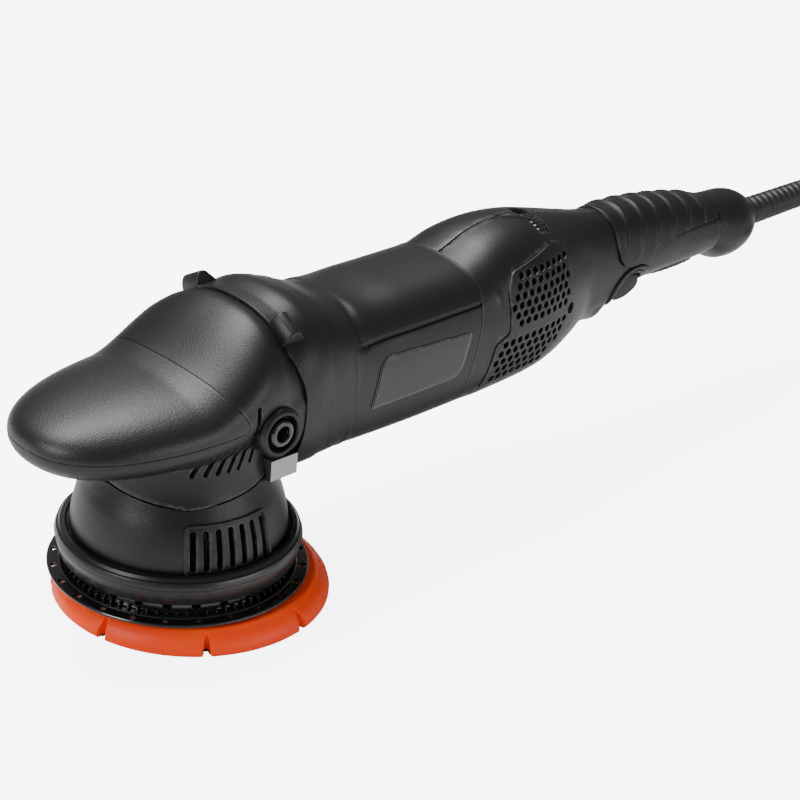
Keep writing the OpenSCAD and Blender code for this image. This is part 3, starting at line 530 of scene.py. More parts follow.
def tube(name, path, radius, finish, closed=False, sides=12, flat=1.0, normal=None):
    """Round bead along a path; flat squeezes it along the given normal. Ends taper shut."""
    p = np.array(path, float)
    n = len(p)
    if closed:
        tangent = np.roll(p, -1, 0) - np.roll(p, 1, 0)
    else:
        tangent = np.gradient(p, axis=0)
    tangent /= np.linalg.norm(tangent, axis=1)[:, None] + 1e-12
    ref = np.array(normal if normal is not None else (0, 0, 1.0), float)
    ref = np.broadcast_to(ref, p.shape)
    side = np.cross(tangent, ref)
    side /= np.linalg.norm(side, axis=1)[:, None] + 1e-12
    up = np.cross(side, tangent)
    r = np.broadcast_to(np.array(radius, float), (n,)).copy()
    if not closed:
        ends = np.minimum(np.arange(n), np.arange(n)[::-1]) / 3.0
        r *= np.sqrt(1 - (1 - np.clip(ends, 0.02, 1)) ** 2)
    a = np.linspace(0, 2 * math.pi, sides, endpoint=False)
    rings = p[:, None, :] + r[:, None, None] * (
        np.cos(a)[None, :, None] * side[:, None, :] + flat * np.sin(a)[None, :, None] * up[:, None, :])
    if closed:
        rings = np.concatenate([rings, rings[:1]])
    faces = grid_faces(len(rings), sides, True)
    if not closed:
        faces += [tuple(range(sides)), tuple(range((n - 1) * sides, n * sides))]
    ob = build(name, [tuple(q) for q in rings.reshape(-1, 3)], faces, finish)
    soften(ob, 0)
    return ob


def attach(ob, body, slot, *replaced):
    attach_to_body(ob, body)
    if replaced:
        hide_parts(*replaced)
    return ob


# ---- Sections of the housings, the same as the CAD's ----


def spow(v, p):
    return np.sign(v) * np.abs(v) ** p


def smooth(t):
    t = np.clip(t, 0, 1)
    return t * t * (3 - 2 * t)


NOSE_L, HEAD_W, PART_Z = 84.0, 45.0, 95.0
MOTOR_Z = 88.0


def head_section(x):
    """Half width, lowest and highest point and squareness of the head at x."""
    x = np.asarray(x, float)
    nose = np.where(x >= 0, 1.0, np.clip(1 - np.clip(-x / NOSE_L, 0, 1) ** 2.4, 0, 1) ** (1 / 2.4))
    w = HEAD_W * nose - 2.8 * smooth(x / 34)
    z0 = PART_Z - 19 * nose ** 0.85 - 21 * smooth((x - 8) / 26)
    z1 = PART_Z + 18 * nose ** 0.9 + 22 * smooth((x + 22) / 46)
    return w, z0, z1, 2.2 + 0.2 * smooth((x + 40) / 74)


def table_section(rows):
    """Section function through a table of rows, smooth between them."""
    t = np.array(rows, float)
    xs = t[:, 0]
    slopes = np.gradient(t[:, 1:], xs, axis=0)

    def at(x):
        x = np.clip(np.asarray(x, float), xs[0], xs[-1])
        i = np.clip(np.searchsorted(xs, x, side="right") - 1, 0, len(xs) - 2)
        h = xs[i + 1] - xs[i]
        u = (x - xs[i]) / h
        h00, h10 = 2 * u ** 3 - 3 * u ** 2 + 1, u ** 3 - 2 * u ** 2 + u
        h01, h11 = -2 * u ** 3 + 3 * u ** 2, u ** 3 - u ** 2
        return tuple(
            h00 * t[i, k] + h10 * h * slopes[i, k - 1] + h01 * t[i + 1, k] + h11 * h * slopes[i + 1, k - 1]
            for k in range(1, 5))
    return at


COLLAR = table_section([
    (34, 42.2, 55, 135, 2.4), (44, 41.6, 53, 136, 2.5), (51.9, 40, 53, 134, 2.6)])
MOTOR = table_section([
    (52.1, 39.6, 53, 133.5, 2.6), (60, 38.4, 53.5, 131, 2.7), (70, 36.6, 54, 127, 2.8),
    (80, 36, 53.5, 124.5, 2.8), (110, 36, 53, 123.5, 2.8), (149.9, 36, 53, 123.5, 2.7)])
REAR = table_section([
    (142, 36, 53, 123.5, 2.7), (150.1, 36, 53, 123.5, 2.7), (158, 36, 52, 126, 2.6),
    (168, 36, 51.5, 130, 2.5), (180, 35.5, 51, 132.5, 2.4), (195, 34.5, 51, 133, 2.3),
    (208, 32, 52, 131.5, 2.3),
    (220, 29, 54, 129, 2.2), (232, 25, 58, 126, 2.2), (242, 21.5, 62, 123.5, 2.2),
    (252, 20, 64, 121, 2.2), (262, 19.2, 66, 119.5, 2.2), (268, 19, 71, 119.2, 2.2),
    (275, 18.8, 74.5, 119, 2.2), (290, 18.2, 75.5, 118, 2.2), (305, 17.8, 76, 116, 2.2),
    (320, 17.3, 76, 113.5, 2.2), (335, 16.8, 76.5, 110, 2.2), (346.8, 16, 77, 107, 2.2)])
POMMEL = table_section([
    (347, 16, 76.6, 107, 2.2), (350, 16.6, 74, 107, 2.1), (355, 17.6, 71, 106.6, 2),
    (361, 18, 70, 106, 2), (368, 17.6, 70.4, 105.6, 2), (374, 16, 72, 104, 2),
    (379, 13.4, 74.6, 101.4, 2), (383, 10, 78, 98, 2)])


def on_section(section, x, a, d=0.0):
    """Point of a housing at x and at angle a round it in degrees, moved in by d."""
    w, z0, z1, p = section(x)
    ar = np.radians(a)
    mid, half = (z0 + z1) / 2, (z1 - z0) / 2
    y = np.maximum(w - d, 0) * spow(np.cos(ar), 2 / p)
    z = mid + np.maximum(half - d, 0) * spow(np.sin(ar), 2 / p)
    return np.stack(np.broadcast_arrays(x, y, z), -1)


def angle_at(section, x, z):
    """Angle on the far side at which the section passes a height."""
    _, z0, z1, p = section(x)
    s = np.clip((z - (z0 + z1) / 2) / np.maximum((z1 - z0) / 2, 1e-6), -1, 1)
    return np.degrees(np.arcsin(np.clip(spow(s, p / 2), -1, 1)))


def side_y(section, x, z):
    """Half width of the section at a height."""
    w, z0, z1, p = section(x)
    s = np.clip(np.abs(z - (z0 + z1) / 2) / np.maximum((z1 - z0) / 2, 1e-6), 0, 1)
    return w * (1 - s ** p) ** (1 / p)


# ---- The lead: route in metres, the coil, the plug and the tie ----

LEAD = [(0.446, 0, 0.088), (0.456, 0, 0.088), (0.470, 0, 0.0865), (0.483, 0, 0.082), (0.494, 0, 0.074),
        (0.502, 0, 0.064), (0.508, 0, 0.052), (0.514, 0, 0.040), (0.521, 0, 0.028), (0.530, 0, 0.018),
        (0.542, 0, 0.010), (0.556, 0, 0.0055)]
TAIL = [(0.558, -0.1086, 0.0276), (0.546, -0.1105, 0.0256), (0.534, -0.1135, 0.0226), (0.522, -0.117, 0.0198),
        (0.511, -0.1194, 0.0178), (0.500, -0.120, 0.0172), (0.492, -0.120, 0.0172)]
CORD_D = 0.008
COIL_X, COIL_Y, COIL_R = 0.570, -0.054, 0.046
COIL_TURNS = 11.5
COLUMN = [0, 1, 2, 2, 1, 0, 0, 1, 2, 2, 1, 0]


def coil_route():
    out = []
    steps = 40
    for k in range(int(COIL_TURNS * steps) + 1):
        s = k / steps
        shift = s + 0.15
        turn = min(int(shift), 11)
        ease = float(smooth((shift - int(shift)) / 0.24)) if turn and shift - int(shift) < 0.24 else 1.0
        before = max(turn - 1, 0)
        col = COLUMN[before] + (COLUMN[turn] - COLUMN[before]) * ease
        layer = before // 3 + (turn // 3 - before // 3) * ease
        r = COIL_R + CORD_D * (1 - col)
        a = math.radians(90) - 2 * math.pi * s
        out.append((COIL_X + r * math.cos(a), COIL_Y + r * math.sin(a), 0.0042 + CORD_D * layer))
    return out


def make_cord():
    route = [tuple(p) for p in catmull(LEAD, 4)] + coil_route() + [tuple(p) for p in catmull(TAIL, 4)]
    data = bpy.data.curves.new("cord_route", "CURVE")
    data.dimensions = "3D"
    line = data.splines.new("POLY")
    line.points.add(len(route) - 1)
    for point, place in zip(line.points, route):
        point.co = (*place, 1)
    data.bevel_depth = CORD_D / 2
    data.bevel_resolution = 5
    data.use_fill_caps = True
    data.materials.append(CORD_BLACK)
    ob = bpy.data.objects.new("power_cord", data)
    bpy.context.scene.collection.objects.link(ob)
    length = sum(math.dist(a, b) for a, b in zip(route, route[1:]))
    return ob, length


power_cord, CORD_LENGTH = make_cord()
attach(power_cord, "root", "cord_jacket", "cord", "cord_coil")


def make_plug():
    n = 64
    profile = [(0, 0), (12.2, 0), (15.2, 0.5), (16.6, 1.8), (17, 4), (17, 18), (16.4, 20.5), (14, 22.2),
               (11.6, 23), (10.6, 25), (9.6, 29), (8.6, 34), (7.4, 38), (6.6, 39.6), (4.1, 40), (0, 40)]
    verts, a = [], np.linspace(0, 2 * math.pi, n, endpoint=False)
    for r, x in profile:
        flat = 1 - 0.1 * smooth((x - 4) / 5) * (1 - smooth((x - 16) / 4))
        ribs = 1 - 0.03 * (6 < x < 17) * (np.cos(a * 24) > 0)
        for ang, rib in zip(a, ribs):
            verts.append((460 + x, -120 + r * math.cos(ang) * flat * rib, 17.2 + r * math.sin(ang) * rib))
    body = build("plug_body", verts, grid_faces(len(profile), n, True), CORD_BLACK)
    holes = joined("pin_holes", [
        prism("pin_hole", disc(-120 + s * 9.5, 17.2, 2.42), "x", 455, 466) for s in (-1, 1)])
    cut(body, holes)
    discard(holes)
    soften(body, 0.3, 2)
    return body


plug_body = attach(make_plug(), "root", "cord_jacket", "plug")


def make_tie():
    """Hook-and-loop band round the coil's section."""
    w, top = 13.6, 33.6
    path = round_outline([(-w, 0.8), (w, 0.8), (w, top), (-w, top)], 6, 8)
    verts, n = [], len(path)
    for inset in (0.0, 1.1):
        for half in (-5, 5):
            for x, z in path:
                k = 1 - inset / 15
                verts.append((COIL_X / MM + 46 + x * k, -54 + half, top / 2 + (z - top / 2) * k))
    faces = []
    for i in range(n):
        j = (i + 1) % n
        faces += [(i, j, n + j, n + i), (2 * n + i, 3 * n + i, 3 * n + j, 2 * n + j),
                  (i, 2 * n + i, 2 * n + j, j), (n + i, n + j, 3 * n + j, 3 * n + i)]
    ob = build("coil_tie", verts, faces, HOOK_TAPE)
    soften(ob, 0.25, 2)
    return ob


coil_tie = attach(make_tie(), "root", "hook_fabric", "cord_tie")


BOOT_START, BOOT_END, BOOT_BORE = 376, 456, 4.05


def make_relief():
    """Tapered boot with slanting ribs."""
    n = 72
    xs = np.linspace(BOOT_START, BOOT_END, 321)
    a = np.linspace(0, 2 * math.pi, n, endpoint=False)
    u = (xs - BOOT_START) / (BOOT_END - BOOT_START)
    core = 6.9 - 0.95 * u
    pts = np.zeros((len(xs) + 2, n, 3))
    for k, (x, r0) in enumerate(zip(xs, core)):
        phase = (x - 384) / 4.6 + a / (2 * math.pi)
        rib = np.clip(0.5 + 0.9 * np.cos(2 * math.pi * phase), 0, 1) * 0.85
        fade = smooth((x - 384) / 3) * (1 - smooth((x - 452.5) / 3))
        r = r0 + rib * fade
        pts[k + 1] = np.stack([np.full(n, x), r * np.cos(a), MOTOR_Z + r * np.sin(a)], -1)
    for k, src in ((0, 1), (len(xs) + 1, len(xs))):
        inner = pts[src] - (0, 0, MOTOR_Z)
        inner[:, 1:] *= BOOT_BORE / np.hypot(inner[:, 1], inner[:, 2])[:, None]
        pts[k] = inner + (0, 0, MOTOR_Z)
    verts = [tuple(p) for p in pts.reshape(-1, 3)]
    ob = build("strain_boot", verts, grid_faces(len(pts), n, True), CORD_BLACK)
    soften(ob, 0)
    return ob


strain_boot = attach(make_relief(), "root", "cord_jacket", "strain_relief")

# ---- Palm cover and head shell ----

GAP = 0.36
RIM_R = 5.0


def palm_edge(z):
    """x of the palm cover's slanting rear edge, with its lower corner rounded."""
    up = np.maximum(z - PART_Z, 0)
    corner = RIM_R * (1 - np.sqrt(np.clip(1 - (1 - np.clip(up / RIM_R, 0, 1)) ** 2, 0, 1)))
    return 2.0 - 0.6 * up - corner


def nose_x(x_end, u):
    """x from the nose tip to x_end, crowded towards the tip."""
    end = np.arccos(np.clip(-spow(x_end / NOSE_L, 1.2), -1, 1))
    return -NOSE_L * spow(np.cos(end * u), 1 / 1.2)


def upper_grid(x_of, a_count, u_count, z_low):
    """Grid over the top of the head. x_of(u, z) gives the place along the head."""
    t = np.linspace(0, 1, a_count)[None, :]
    u = np.linspace(0, 1, u_count)[:, None]
    x = x_of(u, np.full((u_count, a_count), 110.0))
    for _ in range(14):
        a0 = angle_at(head_section, x, z_low)
        p = on_section(head_section, x, 180 - a0 - t * (180 - 2 * a0))
        x = x_of(u, p[..., 2])
    a0 = angle_at(head_section, x, z_low)
    return on_section(head_section, x, 180 - a0 - t * (180 - 2 * a0))


def make_palm_cover():
    pts = upper_grid(lambda u, z: nose_x(palm_edge(z) - GAP, u), 121, 90, PART_Z + GAP / 2)
    return sheet_piece("palm_cover_moulding", [(pts, False)], COVER_BLACK, 2.3, (-20, 0, 90), edge=0.6)




def seam_z(phi):
    """Height of the wavy seam between head and shroud; phi in degrees round the spindle."""
    away = np.abs((np.abs(phi) - 125 + 180) % 360 - 180)
    return 60.4 + 5.2 * np.sqrt(np.clip(away / 68, 0, 1) ** 2 + 0.002)


def bell_r(z):
    zs = [skirt[1] for skirt in BELL]
    rs = [skirt[0] for skirt in BELL]
    return np.interp(z, zs, rs)


BELL_KEYS = [(48.6, 20), (48.6, 28), (48.5, 34), (47.6, 42), (45.2, 51), (42.2, 58), (39.8, 64), (38.4, 70),
             (37.7, 76), (37.3, 84), (37.2, 92)]
BELL = [tuple(p) for p in catmull(BELL_KEYS, 8)]


def head_reach(phi, z):
    """Distance from the spindle axis to the head's surface, in a direction and at a height."""
    r = np.linspace(95, 0, 381)
    x = r[:, None, None] * np.cos(phi)[None]
    y = r[:, None, None] * np.sin(phi)[None]
    w, z0, z1, p = head_section(np.clip(x, -NOSE_L, 34))
    mid, half = (z0 + z1) / 2, np.maximum((z1 - z0) / 2, 1e-4)
    f = np.abs(y / np.maximum(w, 1e-4)) ** p + np.abs((z[None] - mid) / half) ** p
    f = np.where(x < -NOSE_L, 9.0, f)
    inside = f < 1
    first = np.argmax(inside, 0)
    hit = inside.any(0) & (first > 0)
    fi = np.take_along_axis(f, first[None], 0)[0]
    fo = np.take_along_axis(f, np.maximum(first - 1, 0)[None], 0)[0]
    t = np.clip((1 - fi) / np.maximum(fo - fi, 1e-9), 0, 1)
    return np.where(hit, r[first] + t * (r[0] - r[1]), 0.0)


def lower_head_grid(near_x):
    """Polar grid from the parting line down to the shroud seam. near_x: where the band's lower edge runs."""
    zp = PART_Z - GAP / 2
    ya = side_y(head_section, near_x, zp)
    side = np.degrees(np.arctan2(-ya, near_x))
    front = np.linspace(side[0], -180, 70)[1:]
    rear = np.linspace(side[-1], 0, 12)[1:]
    near = np.concatenate([rear[::-1], side[::-1], front])
    phi = np.concatenate([near, -near[-2:0:-1]])
    phir = np.radians(phi)
    n_prof = 140
    low = seam_z(phi) + GAP
    zs = zp - (zp - low)[None, :] * (np.linspace(0, 1, n_prof)[:, None] ** 1.15)
    ph = np.broadcast_to(phir[None, :], zs.shape)
    reach = np.empty_like(zs)
    for k in range(0, n_prof, 20):
        reach[k:k + 20] = head_reach(ph[k:k + 20], zs[k:k + 20])
    neck = bell_r(zs)
    k = 7.0
    h = np.clip(0.5 + 0.5 * (reach - neck) / k, 0, 1)
    r = neck + (reach - neck) * h + k * h * (1 - h)
    cos = np.cos(ph)
    limit = np.where(cos > 0.05, 33.85 / np.maximum(cos, 0.05), 999.0)
    r = np.minimum(r, limit)
    # even spacing down each profile
    out = np.zeros((48, len(phi), 3))
    for j in range(len(phi)):
        line = np.stack([r[:, j], zs[:, j]], -1)
        step = np.r_[0, np.cumsum(np.linalg.norm(np.diff(line, axis=0), axis=1))]
        s = np.linspace(0, step[-1], 48)
        rr, zz = np.interp(s, step, line[:, 0]), np.interp(s, step, line[:, 1])
        out[:, j] = np.stack([rr * np.cos(phir[j]), rr * np.sin(phir[j]), zz], -1)
    return out


def make_head_shell():
    count = 46
    x0 = float(palm_edge(np.array(PART_Z)))
    near_x = x0 + (33.9 - x0) * np.linspace(0, 1, count)
    zp = PART_Z - GAP / 2

    def along(u, z):
        start = palm_edge(z)
        return start + (33.9 - start) * u
    band = upper_grid(along, 121, count, zp)
    dip = smooth((band[..., 0] - 18) / 12) * smooth((band[..., 2] - 96) / 6)
    centre = np.array([0, 0, 95.0])
    flat = band - centre
    flat[..., 0] = 0
    band -= dip[..., None] * 1.3 * flat / np.maximum(np.linalg.norm(flat, axis=-1, keepdims=True), 1e-6)
    lower = lower_head_grid(near_x)
    slots = []
    for i in range(6):
        middle, tall = (81.2, 15.5) if i < 5 else (79.0, 8)
        outline = stadium(-17.5 + 5.2 * i, middle, tall, 2.1, -27)
        slots += [prism("slot", outline, "y", s * 28, s * 52) for s in (-1, 1)]
    for s in (-1, 1):
        slots.append(prism("groove", stadium(4.6, 98.5, 15, 2.3), "y", s * 39.2, s * 50))
    slot_cutter = joined("head_slots", slots)
    opening = round_outline([(17.6, 57), (36, 57), (36, 74.6), (18.6, 74.6)], 0.8)
    window = joined("foot_windows", [prism("window", opening, "y", s * 15, s * 60) for s in (-1, 1)])
    ob = sheet_piece("head_moulding", [(band, False), (lower, True)], BODY_BLACK, 2.4, (0, 0, 92), edge=0.4,
                     cuts=(slot_cutter, window))
    discard(slot_cutter, window)
    return ob


attach(make_palm_cover(), "root", "soft_touch", "palm_cover")
attach(make_head_shell(), "root", "black_plastic", "head_shell")

# ---- Shroud, bumper ring, vent ring and pad ----


def radial_prism(outline, phi, r0, r1):
    """Prism of an outline across and up, run outward from the spindle axis at angle phi."""
    c, s = math.cos(math.radians(phi)), math.sin(math.radians(phi))
    n = len(outline)
    verts = [(r * c - t * s, r * s + t * c, z) for r in (r0, r1) for t, z in outline]
    faces = [tuple(range(n)), tuple(range(2 * n - 1, n - 1, -1))]
    faces += [(i, (i + 1) % n, n + (i + 1) % n, n + i) for i in range(n)]
    return build("radial_cut", verts, faces, INNER_NYLON, weld=0.0001)


SLOT_ANGLE, SLOT_PITCH, SLOT_Z = 101.0, 7.2, 43.0


def make_shroud():
    phi = np.linspace(0, 360, 288, endpoint=False)
    u = np.linspace(0, 1, 60)[:, None]
    top = seam_z(np.where(phi > 180, phi - 360, phi)) - GAP
    z = 20.2 + (top - 20.2)[None] * u
    r = bell_r(z)
    a = np.radians(phi)[None]
    pts = np.stack([r * np.cos(a), r * np.sin(a), z], -1)
    slots = []
    for centre in (-SLOT_ANGLE, SLOT_ANGLE):
        for i in range(-3, 4):
            slots.append(radial_prism(stadium(0, SLOT_Z, 18.5, 2.7), centre + SLOT_PITCH * i, 36, 56))
    cutter = joined("shroud_slots", slots)
    ob = sheet_piece("shroud_moulding", [(pts, True)], BODY_BLACK, 2.3, (0, 0, 40), edge=0.4, cuts=(cutter,))
    discard(cutter)
    return ob


def make_slot_frames():
    """Raised bead round each group of slots."""
    beads = []
    for k, centre in enumerate((-SLOT_ANGLE, SLOT_ANGLE)):
        half = 3 * SLOT_PITCH + 3.6
        low, high = SLOT_Z - 11.2, SLOT_Z + 11.2
        outline = round_outline([(-half, low), (half, low), (half, high), (-half, high)], 3.2, 6)
        dense = []
        for i, p in enumerate(outline):
            q = outline[(i + 1) % len(outline)]
            steps = max(1, int(abs(q[0] - p[0]) / 2.5))
            across, up = q[0] - p[0], q[1] - p[1]
            dense += [(p[0] + across * j / steps, p[1] + up * j / steps) for j in range(steps)]
        path, out = [], []
        for t, z in dense:
            phi = math.radians(centre + t)
            r = float(bell_r(z)) + 0.15
            path.append((r * math.cos(phi), r * math.sin(phi), z))
            out.append((math.cos(phi), math.sin(phi), 0.15))
        beads.append(tube(f"slot_frame_{k}", path, 0.95, BODY_BLACK, closed=True, normal=out))
    return beads


attach(make_shroud(), "root", "black_plastic", "shroud")
for bead in make_slot_frames():
    attach(bead, "root", "black_plastic")

bumper = revolve("bumper_moulding", [
    (48.7, 20.5), (52.6, 20.5), (53.3, 21.1), (54.95, 28.1), (54.75, 28.45), (54.95, 28.8), (55.3, 29.2),
    (54.35, 31.9), (54.0, 32.1), (53.6, 32.2), (52.6, 33.6), (51.2, 34.0), (50.4, 33.9), (50.0, 33.4),
    (49.5, 33.0), (48.7, 33.0)],
    BUMPER_BLACK, n=200, edge=0.15, segments=2)
attach(bumper, "root", "bumper_rubber", "bumper_ring")


def make_vent_ring():
    holes = [prism("hole", disc(55.6 * math.cos(a), 55.6 * math.sin(a), 1.5, 16), "z", 10, 16)
             for a in np.linspace(0, 2 * math.pi, 24, endpoint=False)]
    opening = round_outline([(-1.6, 15.4), (1.6, 15.4), (1.6, 18.6), (-1.6, 18.6)], 0.5, 3)
    holes += [radial_prism(opening, 15 * k, 44, 50) for k in range(24)]
    cutter = joined("ring_holes", holes)
    ob = revolve("vent_ring_moulding", [
        (44.5, 12.4), (58.1, 12.4), (58.5, 12.8), (58.5, 13.5), (58.1, 14.0), (53.4, 14.0), (53.0, 14.5),
        (52.4, 14.5), (52.0, 14.0), (48.4, 14.0), (48.0, 14.4), (48.0, 19.8), (46.2, 19.8), (46.2, 14.0),
        (44.5, 14.0)], GLOSS_BLACK, n=216, cuts=(cutter,), edge=0.15, segments=2)
    discard(cutter)
    return ob


def make_ring_teeth():
    verts, faces = [], []
    for k in range(72):
        a = math.radians(5 * k)
        c, s = math.cos(a), math.sin(a)
        for r in (48.0, 50.2):
            for t in (-0.5, 0.5):
                for z in (13.9, 16.0 if r < 49 else 14.9):
                    verts.append((r * c - t * s, r * s + t * c, z))
        b = 8 * k
        faces += [(b, b + 1, b + 3, b + 2), (b + 4, b + 6, b + 7, b + 5), (b, b + 4, b + 5, b + 1),
                  (b + 2, b + 3, b + 7, b + 6), (b + 1, b + 5, b + 7, b + 3), (b, b + 2, b + 6, b + 4)]
    ob = build("vent_ring_teeth", verts, faces, GLOSS_BLACK, weld=0.0001)
    soften(ob, 0.2, 2)
    return ob


attach(make_vent_ring(), "root", "gloss_black", "vent_ring")
attach(make_ring_teeth(), "root", "gloss_black")

PAD_X, PAD_Y = 6 * math.cos(math.radians(-40)), 6 * math.sin(math.radians(-40))


def make_pad():
    def moulded(pts):
        """Very slight waviness of cast urethane."""
        a = np.arctan2(pts[..., 1] - PAD_Y, pts[..., 0] - PAD_X)
        pts[..., 2] += 0.05 * np.sin(5 * a + 1) * (pts[..., 2] > 3) * (pts[..., 2] < 10.5)
        return pts
    notches = []
    for k in range(8):
        a = 12 + 45 * k
        c, s = math.cos(math.radians(a)), math.sin(math.radians(a))
        shape = [(57.3, -0.9), (57.0, 0), (57.3, 0.9), (59.5, 1.2), (63.5, 2.6), (66, 4), (66, -4),
                 (63.5, -2.6), (59.5, -1.2)]
        flat = [(PAD_X + r * c - t * s, PAD_Y + r * s + t * c) for r, t in shape]
        notches.append(prism("notch", flat, "z", -3, 14))
    cutter = joined("pad_notches", notches)
    ob = revolve("pad_moulding", [
        (8, 1.45), (60.3, 1.45), (60.3, 0.4), (61.9, 0.4), (62.4, 0.9), (62.5, 2.6),
        (62.0, 4.6), (60.3, 7.1), (59.2, 8.3), (57.6, 9.3), (56.5, 10.2), (55.9, 10.9), (54.9, 11.2),
        (42.05, 11.2), (42.05, 8), (8, 8)],
        PAD_ORANGE, n=240, centre=(PAD_X, PAD_Y), cuts=(cutter,), edge=0.25, wobble=moulded)
    hooks = revolve("hook_disc", [(8, 0.02), (59.6, 0.02), (60.0, 0.5), (60.0, 1.3), (8, 1.3)],
                    HOOK_TAPE, n=200, centre=(PAD_X, PAD_Y), cuts=(cutter,), edge=0.1)
    discard(cutter)
    return ob, hooks


pad_moulding, hook_disc = make_pad()
attach(pad_moulding, "pad", "orange_foam", "pad_foam")
attach(hook_disc, "pad", "hook_fabric", "hook_face")

# ---- Side handle bosses ----


def turned_y(name, profile, cx, cz, side, finish, n=72, edge=0.25):
    """Turned part on an axis across the machine, from a closed outline of radius and distance out."""
    prof = list(profile) + [profile[0]]
    a = np.linspace(0, 2 * math.pi, n, endpoint=False)
    verts = [(cx + r * math.cos(t), side * y, cz + r * math.sin(t)) for r, y in prof for t in a]
    ob = build(name, verts, grid_faces(len(prof), n, True), finish)
    soften(ob, edge, 2)
    return ob


for side, label in ((-1, "right"), (1, "left")):
    rim = turned_y(f"boss_{label}", [
        (7.9, 38), (11.5, 38), (11.5, 44.6), (11.1, 45.6), (9.9, 46.7), (9.3, 46.9), (8.6, 46.6), (8.2, 45.8),
        (7.9, 43)], 17, 90, side, BODY_BLACK)
    attach(rim, "root", "black_plastic")
    thread = [(3.4 + 0.45 * (k % 2), 36 + 0.55 * k) for k in range(18)]
    bush = turned_y(f"bush_{label}", thread + [
        (3.5, 46.4), (4.0, 47.0), (5.4, 47.0), (6.0, 46.6), (6.5, 45.6), (6.5, 44.0), (7.6, 43.6), (7.6, 36)],
        17, 90, side, GLOSS_BLACK, edge=0.12)
    attach(bush, "root", "gloss_black", *(("side_handle_inserts",) if side < 0 else ()))

# ---- Collar and motor housing ----


def body_section(x):
    """Section of the outer skin anywhere from the head to the pommel."""
    x = np.asarray(x, float)
    parts = [head_section(x), COLLAR(x), MOTOR(x), REAR(x)]
    pick = [x < 34, (x >= 34) & (x < 52), (x >= 52) & (x < 150)]
    return tuple(np.select(pick, [q[k] for q in parts[:3]], parts[3][k]) for k in range(4))


def span_grid(section, x_from, x_to, angles, count, lift=None, d=0.0):
    """Grid between two edges whose x depends on height. lift(x, z, y) moves the skin outward."""
    u = np.linspace(0, 1, count)[:, None]
    a = np.asarray(angles, float)[None, :]
    z = np.full((count, a.shape[1]), 100.0)
    for _ in range(12):
        x = x_from(z) + (x_to(z) - x_from(z)) * u
        p = on_section(section, x, a, d)
        z = p[..., 2]
    if lift is not None:
        out = np.stack([np.zeros_like(z), p[..., 1], p[..., 2] - MOTOR_Z - 3], -1)
        out /= np.maximum(np.linalg.norm(out, axis=-1, keepdims=True), 1e-6)
        p = p + out * lift(p[..., 0], p[..., 2], p[..., 1])[..., None]
    return p


def collar_front(z):
    return 33.9 - 7.4 * smooth((z - 98) / 32)


def collar_rear(z):
    return 50.4 + 8.5 * smooth((z - 96) / 38)


def make_collar():
    angles = np.linspace(0, 360, 200, endpoint=False)
    pts = span_grid(body_section, collar_front, collar_rear, angles, 36,
                    lift=lambda x, z, y: 0.55 + 0 * x)
    return sheet_piece("collar_moulding", [(pts, True)], BODY_BLACK, 2.6, (40, 0, 92), edge=0.55)


def make_ear(side):
    """Raised stop on the collar's shoulder that keeps the machine from rolling."""
    outline = [(25.5, 116), (26.6, 131.5), (29.0, 135.4), (33.0, 135.2), (39.5, 127.5), (42.5, 116)]
    ob = prism("ear", round_outline(outline, 1.8, 5), "y", side * 18.5, side * 31)
    ob.name = "collar_ear_" + ("right" if side < 0 else "left")
    ob.data.materials.clear()
    ob.data.materials.append(BODY_BLACK)
    lean = Matrix.Translation(Vector((0, side * 25, 121)) * MM) @ Matrix.Rotation(
        math.radians(-side * 30), 4, "X") @ Matrix.Translation(Vector((0, -side * 25, -121)) * MM)
    ob.data.transform(lean)
    soften(ob, 1.0, 4)
    return ob


def seam_rear(z):
    """Slanting seam between the motor housing and the rear housing."""
    return 142 + 10 * np.clip((z - 72) / 43, 0, 1)


def panel_lift(x, z, y):
    top = smooth((z - 110.4) / 0.7) * smooth((x - 70.5) / 9) * 1.0
    groove = np.exp(-((z - 109.6) / 0.55) ** 2) * smooth((x - 74) / 4) * 0.75
    notch = np.exp(-((x - 75.5) / 3.2) ** 2) * smooth((z - 107) / 5) * (1 - smooth((z - 122) / 4)) * 1.5
    crease = np.exp(-((x - 69.6) / 1.0) ** 2) * (1 - smooth((z - 108) / 5)) * 0.35
    ridge = np.exp(-(y / 0.8) ** 2) * (z > 100) * 0.25
    return top - groove - notch + crease + ridge * smooth((x - 80) / 6)


def crowded_angles():
    """Angles round the motor housing, close together where its top panel steps."""
    base = np.linspace(0, 360, 150, endpoint=False)
    steps = []
    for centre in (31.0, 149.0):
        steps += list(centre + np.linspace(-3.2, 3.2, 26))
    keep = [a for a in base if min(abs(a - 31.0), abs(a - 149.0)) > 3.5]
    return np.array(sorted(keep + steps + [89.0, 89.6, 90.4, 91.0]))


def make_motor_housing():
    pts = span_grid(body_section, lambda z: collar_rear(z) + 0.75, lambda z: seam_rear(z) - 0.2,
                    crowded_angles(), 130, lift=panel_lift)
    return sheet_piece("motor_moulding", [(pts, True)], BODY_BLACK, 2.6, (100, 0, 90), edge=0.45)


attach(make_collar(), "root", "black_plastic", "motor_collar")
for side in (-1, 1):
    attach(make_ear(side), "root", "black_plastic")
attach(make_motor_housing(), "root", "black_plastic", "motor_housing")


